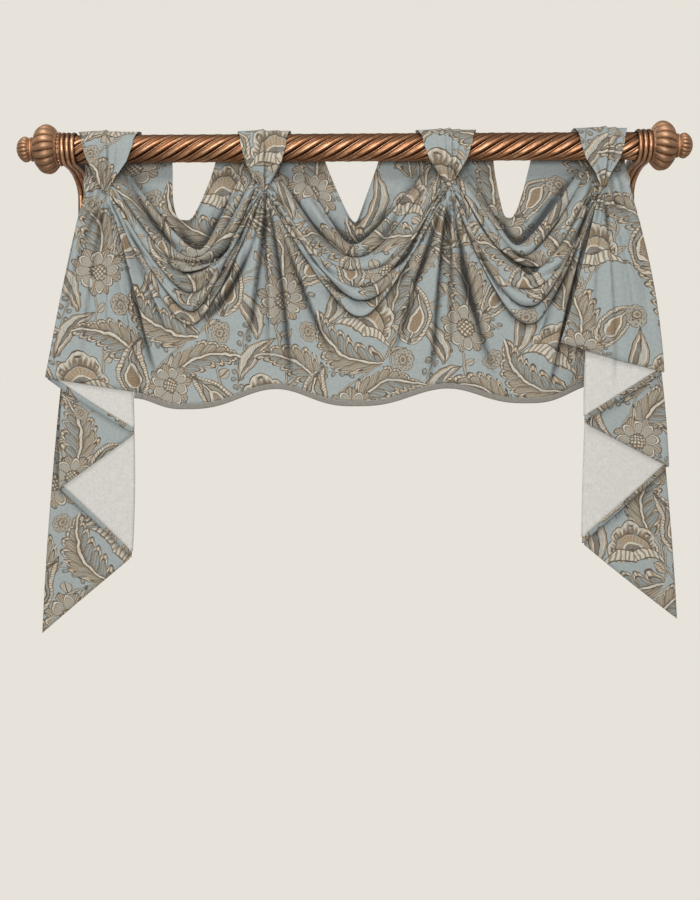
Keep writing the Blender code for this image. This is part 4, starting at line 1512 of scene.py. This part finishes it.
def rideRoot(piece, slot, *nodes):
    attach(piece, "root")
    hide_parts(*nodes)


# a metal's rubbed, usual and sunken colours, its roughness, how much it is rubbed, and how much painted shade
# darkens its top and its underside; the sunken colour is patina in the grooves, with painted shade
metals = {
    "antique copper": (paint(214, 174, 141), paint(158, 112, 81), paint(26, 16, 10), 0.37, 0.85, 0.6, 0.12),
    "brushed bronze": (paint(212, 172, 140), paint(174, 135, 105), paint(54, 37, 26), 0.5, 0.8, 0.1, 0.38),
}
copper, bronze = (metalFinish(name, *looks) for name, looks in metals.items())
printed = printedCloth()
linen = plainCloth("linen lining", paint(201, 200, 197), paint(177, 176, 173), 900.0, 60.0, 0.0004)
taupe = plainCloth("taupe binding", paint(138, 135, 129), paint(108, 104, 98), 1100.0, 120.0, 0.0003)

rideRoot(makePole(copper), "copper", "pole")
for side in ("left", "right"):
    rideRoot(makeFinial(side, bronze), "bronze", f"finial_{side}")
    rideRoot(makeBracket(side, copper), "copper", f"bracket_{side}")
beadRing = makeBeads(copper)
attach(beadRing, "root")
print("hardware made")

surface, flatPanel = panelParts()
swagPanel = sheetPiece("swag_cloth", surface, bySide(flatPanel), cloth["faceThick"], printed, linen)
rideRoot(swagPanel, "printed_cotton", "swag_panel")

bandSizes = {"height": 11.0, "thick": 2.0, "rows": 4}
top = surface[-1] - (0, 0, 0.3)
drops = np.linspace(0, bandSizes["height"], bandSizes["rows"])
bandSurface = np.stack([top - (0, 0, drop) for drop in drops])
bandRun = runAlong(top)
bandFlat = np.stack([np.stack([bandRun, np.full_like(bandRun, -drop)], axis=1) for drop in drops]) * mm
hemBand = sheetPiece("hem_binding", bandSurface, bySide(bandFlat), bandSizes["thick"], taupe)
rideRoot(hemBand, "taupe_binding", "hem_band")
print("panel made")

for number in range(len(tabs)):
    tabGrid, tabPlaces = tabSurface(number)
    places, thick = bySide(tabPlaces), cloth["faceThick"]
    front = ease((tabSizes["shadeFrom"] - tabGrid[..., 1]) / tabSizes["shadeReach"])
    shade = shadeOf(tabGrid) * front.ravel()  # none over and behind the pole
    piece = sheetPiece(f"tab_cloth_{number + 1}", tabGrid, places, thick, printed, linen, shade=shade)
    rideRoot(piece, "printed_cotton", f"tab_{number + 1}")
print("tabs made")

for side in ("left", "right"):
    tailGrid, tailLayers = tailSurface(side)
    tailPlaces = tailFlat(side, tailGrid, tailLayers)
    leftward, thick, hemFrom = side == "left", cloth["tailThick"], tailSizes["liningFrom"]
    turning = np.array([turn is not None for _, _, turn in tailStops(len(tails[side]) - 1)])
    shade = shadeOf(tailGrid).reshape(tailGrid.shape[:2]) * np.where(turning, tailSizes["turnShade"], 1.0)
    named = f"tail_cloth_{side}"
    piece = sheetPiece(named, tailGrid, tailPlaces, thick, printed, linen, leftward, hemFrom, shade.ravel())
    rideRoot(piece, "printed_cotton", f"tail_{side}")
    apart = (thick + cloth["liningThick"]) / 2 + cloth["liningGap"]
    liningGrid = (tailGrid + sheetNormals(tailGrid) * apart)[tailSizes["liningFrom"] : -1, 1:-1]
    liningPlaces = tailPlaces[tailSizes["liningFrom"] : -1, 1:-1]
    thick = cloth["liningThick"]
    lining = sheetPiece(f"tail_lining_{side}", liningGrid, liningPlaces, thick, linen, linen, leftward)
    rideRoot(lining, "linen_lining", f"tail_{side}_lining")
print("tails made")


stage = {"floorBelow": 2.2, "floorReach": 1.1, "tint": paint(232, 228, 222)}
room = {"glow": (233, 229, 222), "strength": 0.56, "backdrop": (231, 226, 218)}
form = bmesh.new()
bmesh.ops.create_grid(form, x_segments=1, y_segments=1, size=stage["floorReach"])
bmesh.ops.translate(form, verts=form.verts, vec=drapeMiddle - (0, 0, stage["floorBelow"]))
pale = Finish("pale floor", BaseColor=stage["tint"], Roughness=0.9)
floor = meshPiece("floor", form, pale)

world = bpy.data.worlds.new("pale room")
bpy.context.scene.world = world
world.use_nodes = True
roomNodes, roomLinks = world.node_tree.nodes, world.node_tree.links
glow = roomNodes["Background"]
glow.inputs[0].default_value = (*paint(*room["glow"]), 1.0)
glow.inputs[1].default_value = room["strength"]
backdrop = roomNodes.new("ShaderNodeBackground")
backdrop.inputs[0].default_value = (*paint(*room["backdrop"]), 1.0)
seen = roomNodes.new("ShaderNodeLightPath")
either = roomNodes.new("ShaderNodeMixShader")
roomLinks.new(seen.outputs["Is Camera Ray"], either.inputs[0])
roomLinks.new(glow.outputs[0], either.inputs[1])
roomLinks.new(backdrop.outputs[0], either.inputs[2])
roomLinks.new(either.outputs[0], roomNodes["World Output"].inputs[0])
bpy.context.scene.view_settings.view_transform = "Standard"


# each lamp's place from the drape's middle in metres, its size and its power
lamps = {
    "high front": ((-0.9, -2.4, 2.6), 1.2, 48),
    "front": ((-0.2, -3.4, -0.1), 1.4, 79),
    "back": ((-1.6, 3.0, 1.2), 2.0, 60),
}
lampTint = (1.0, 0.99, 0.97)
lampAim = drapeMiddle + (0, 0, -0.4)
for name, (place, size, power) in lamps.items():
    lamp = bpy.data.lights.new(name, "AREA")
    lamp.size = size
    lamp.energy = power
    lamp.color = lampTint
    made = bpy.data.objects.new(name, lamp)
    made.location = drapeMiddle + place
    made.rotation_euler = (Vector(lampAim) - made.location).to_track_quat("-Z", "Y").to_euler()
    bpy.context.collection.objects.link(made)
    made.visible_camera = False

# where the camera stands from the drape's middle in metres, its roll, and how wide one of its pixels is there
lens = {
    "distance": 2.5,
    "below": 0.623,
    "left": 0.0023,
    "pixel": 0.00206,
    "pixels": 700,
    "roll": 0.344,
    "sensor": 36.0,
}
camera = bpy.data.objects.new("camera", bpy.data.cameras.new("camera"))
camera.data.sensor_width = lens["sensor"]
camera.data.sensor_fit = "HORIZONTAL"
camera.data.lens = lens["sensor"] * lens["distance"] / (lens["pixels"] * lens["pixel"])
turn = Matrix.Rotation(math.radians(lens["roll"]), 4, "Y") @ Matrix.Rotation(math.radians(90), 4, "X")
spot = drapeMiddle + (-lens["left"], -lens["distance"], -lens["below"])
camera.matrix_world = Matrix.Translation(spot) @ turn
bpy.context.collection.objects.link(camera)
bpy.context.scene.camera = camera
print("camera set")
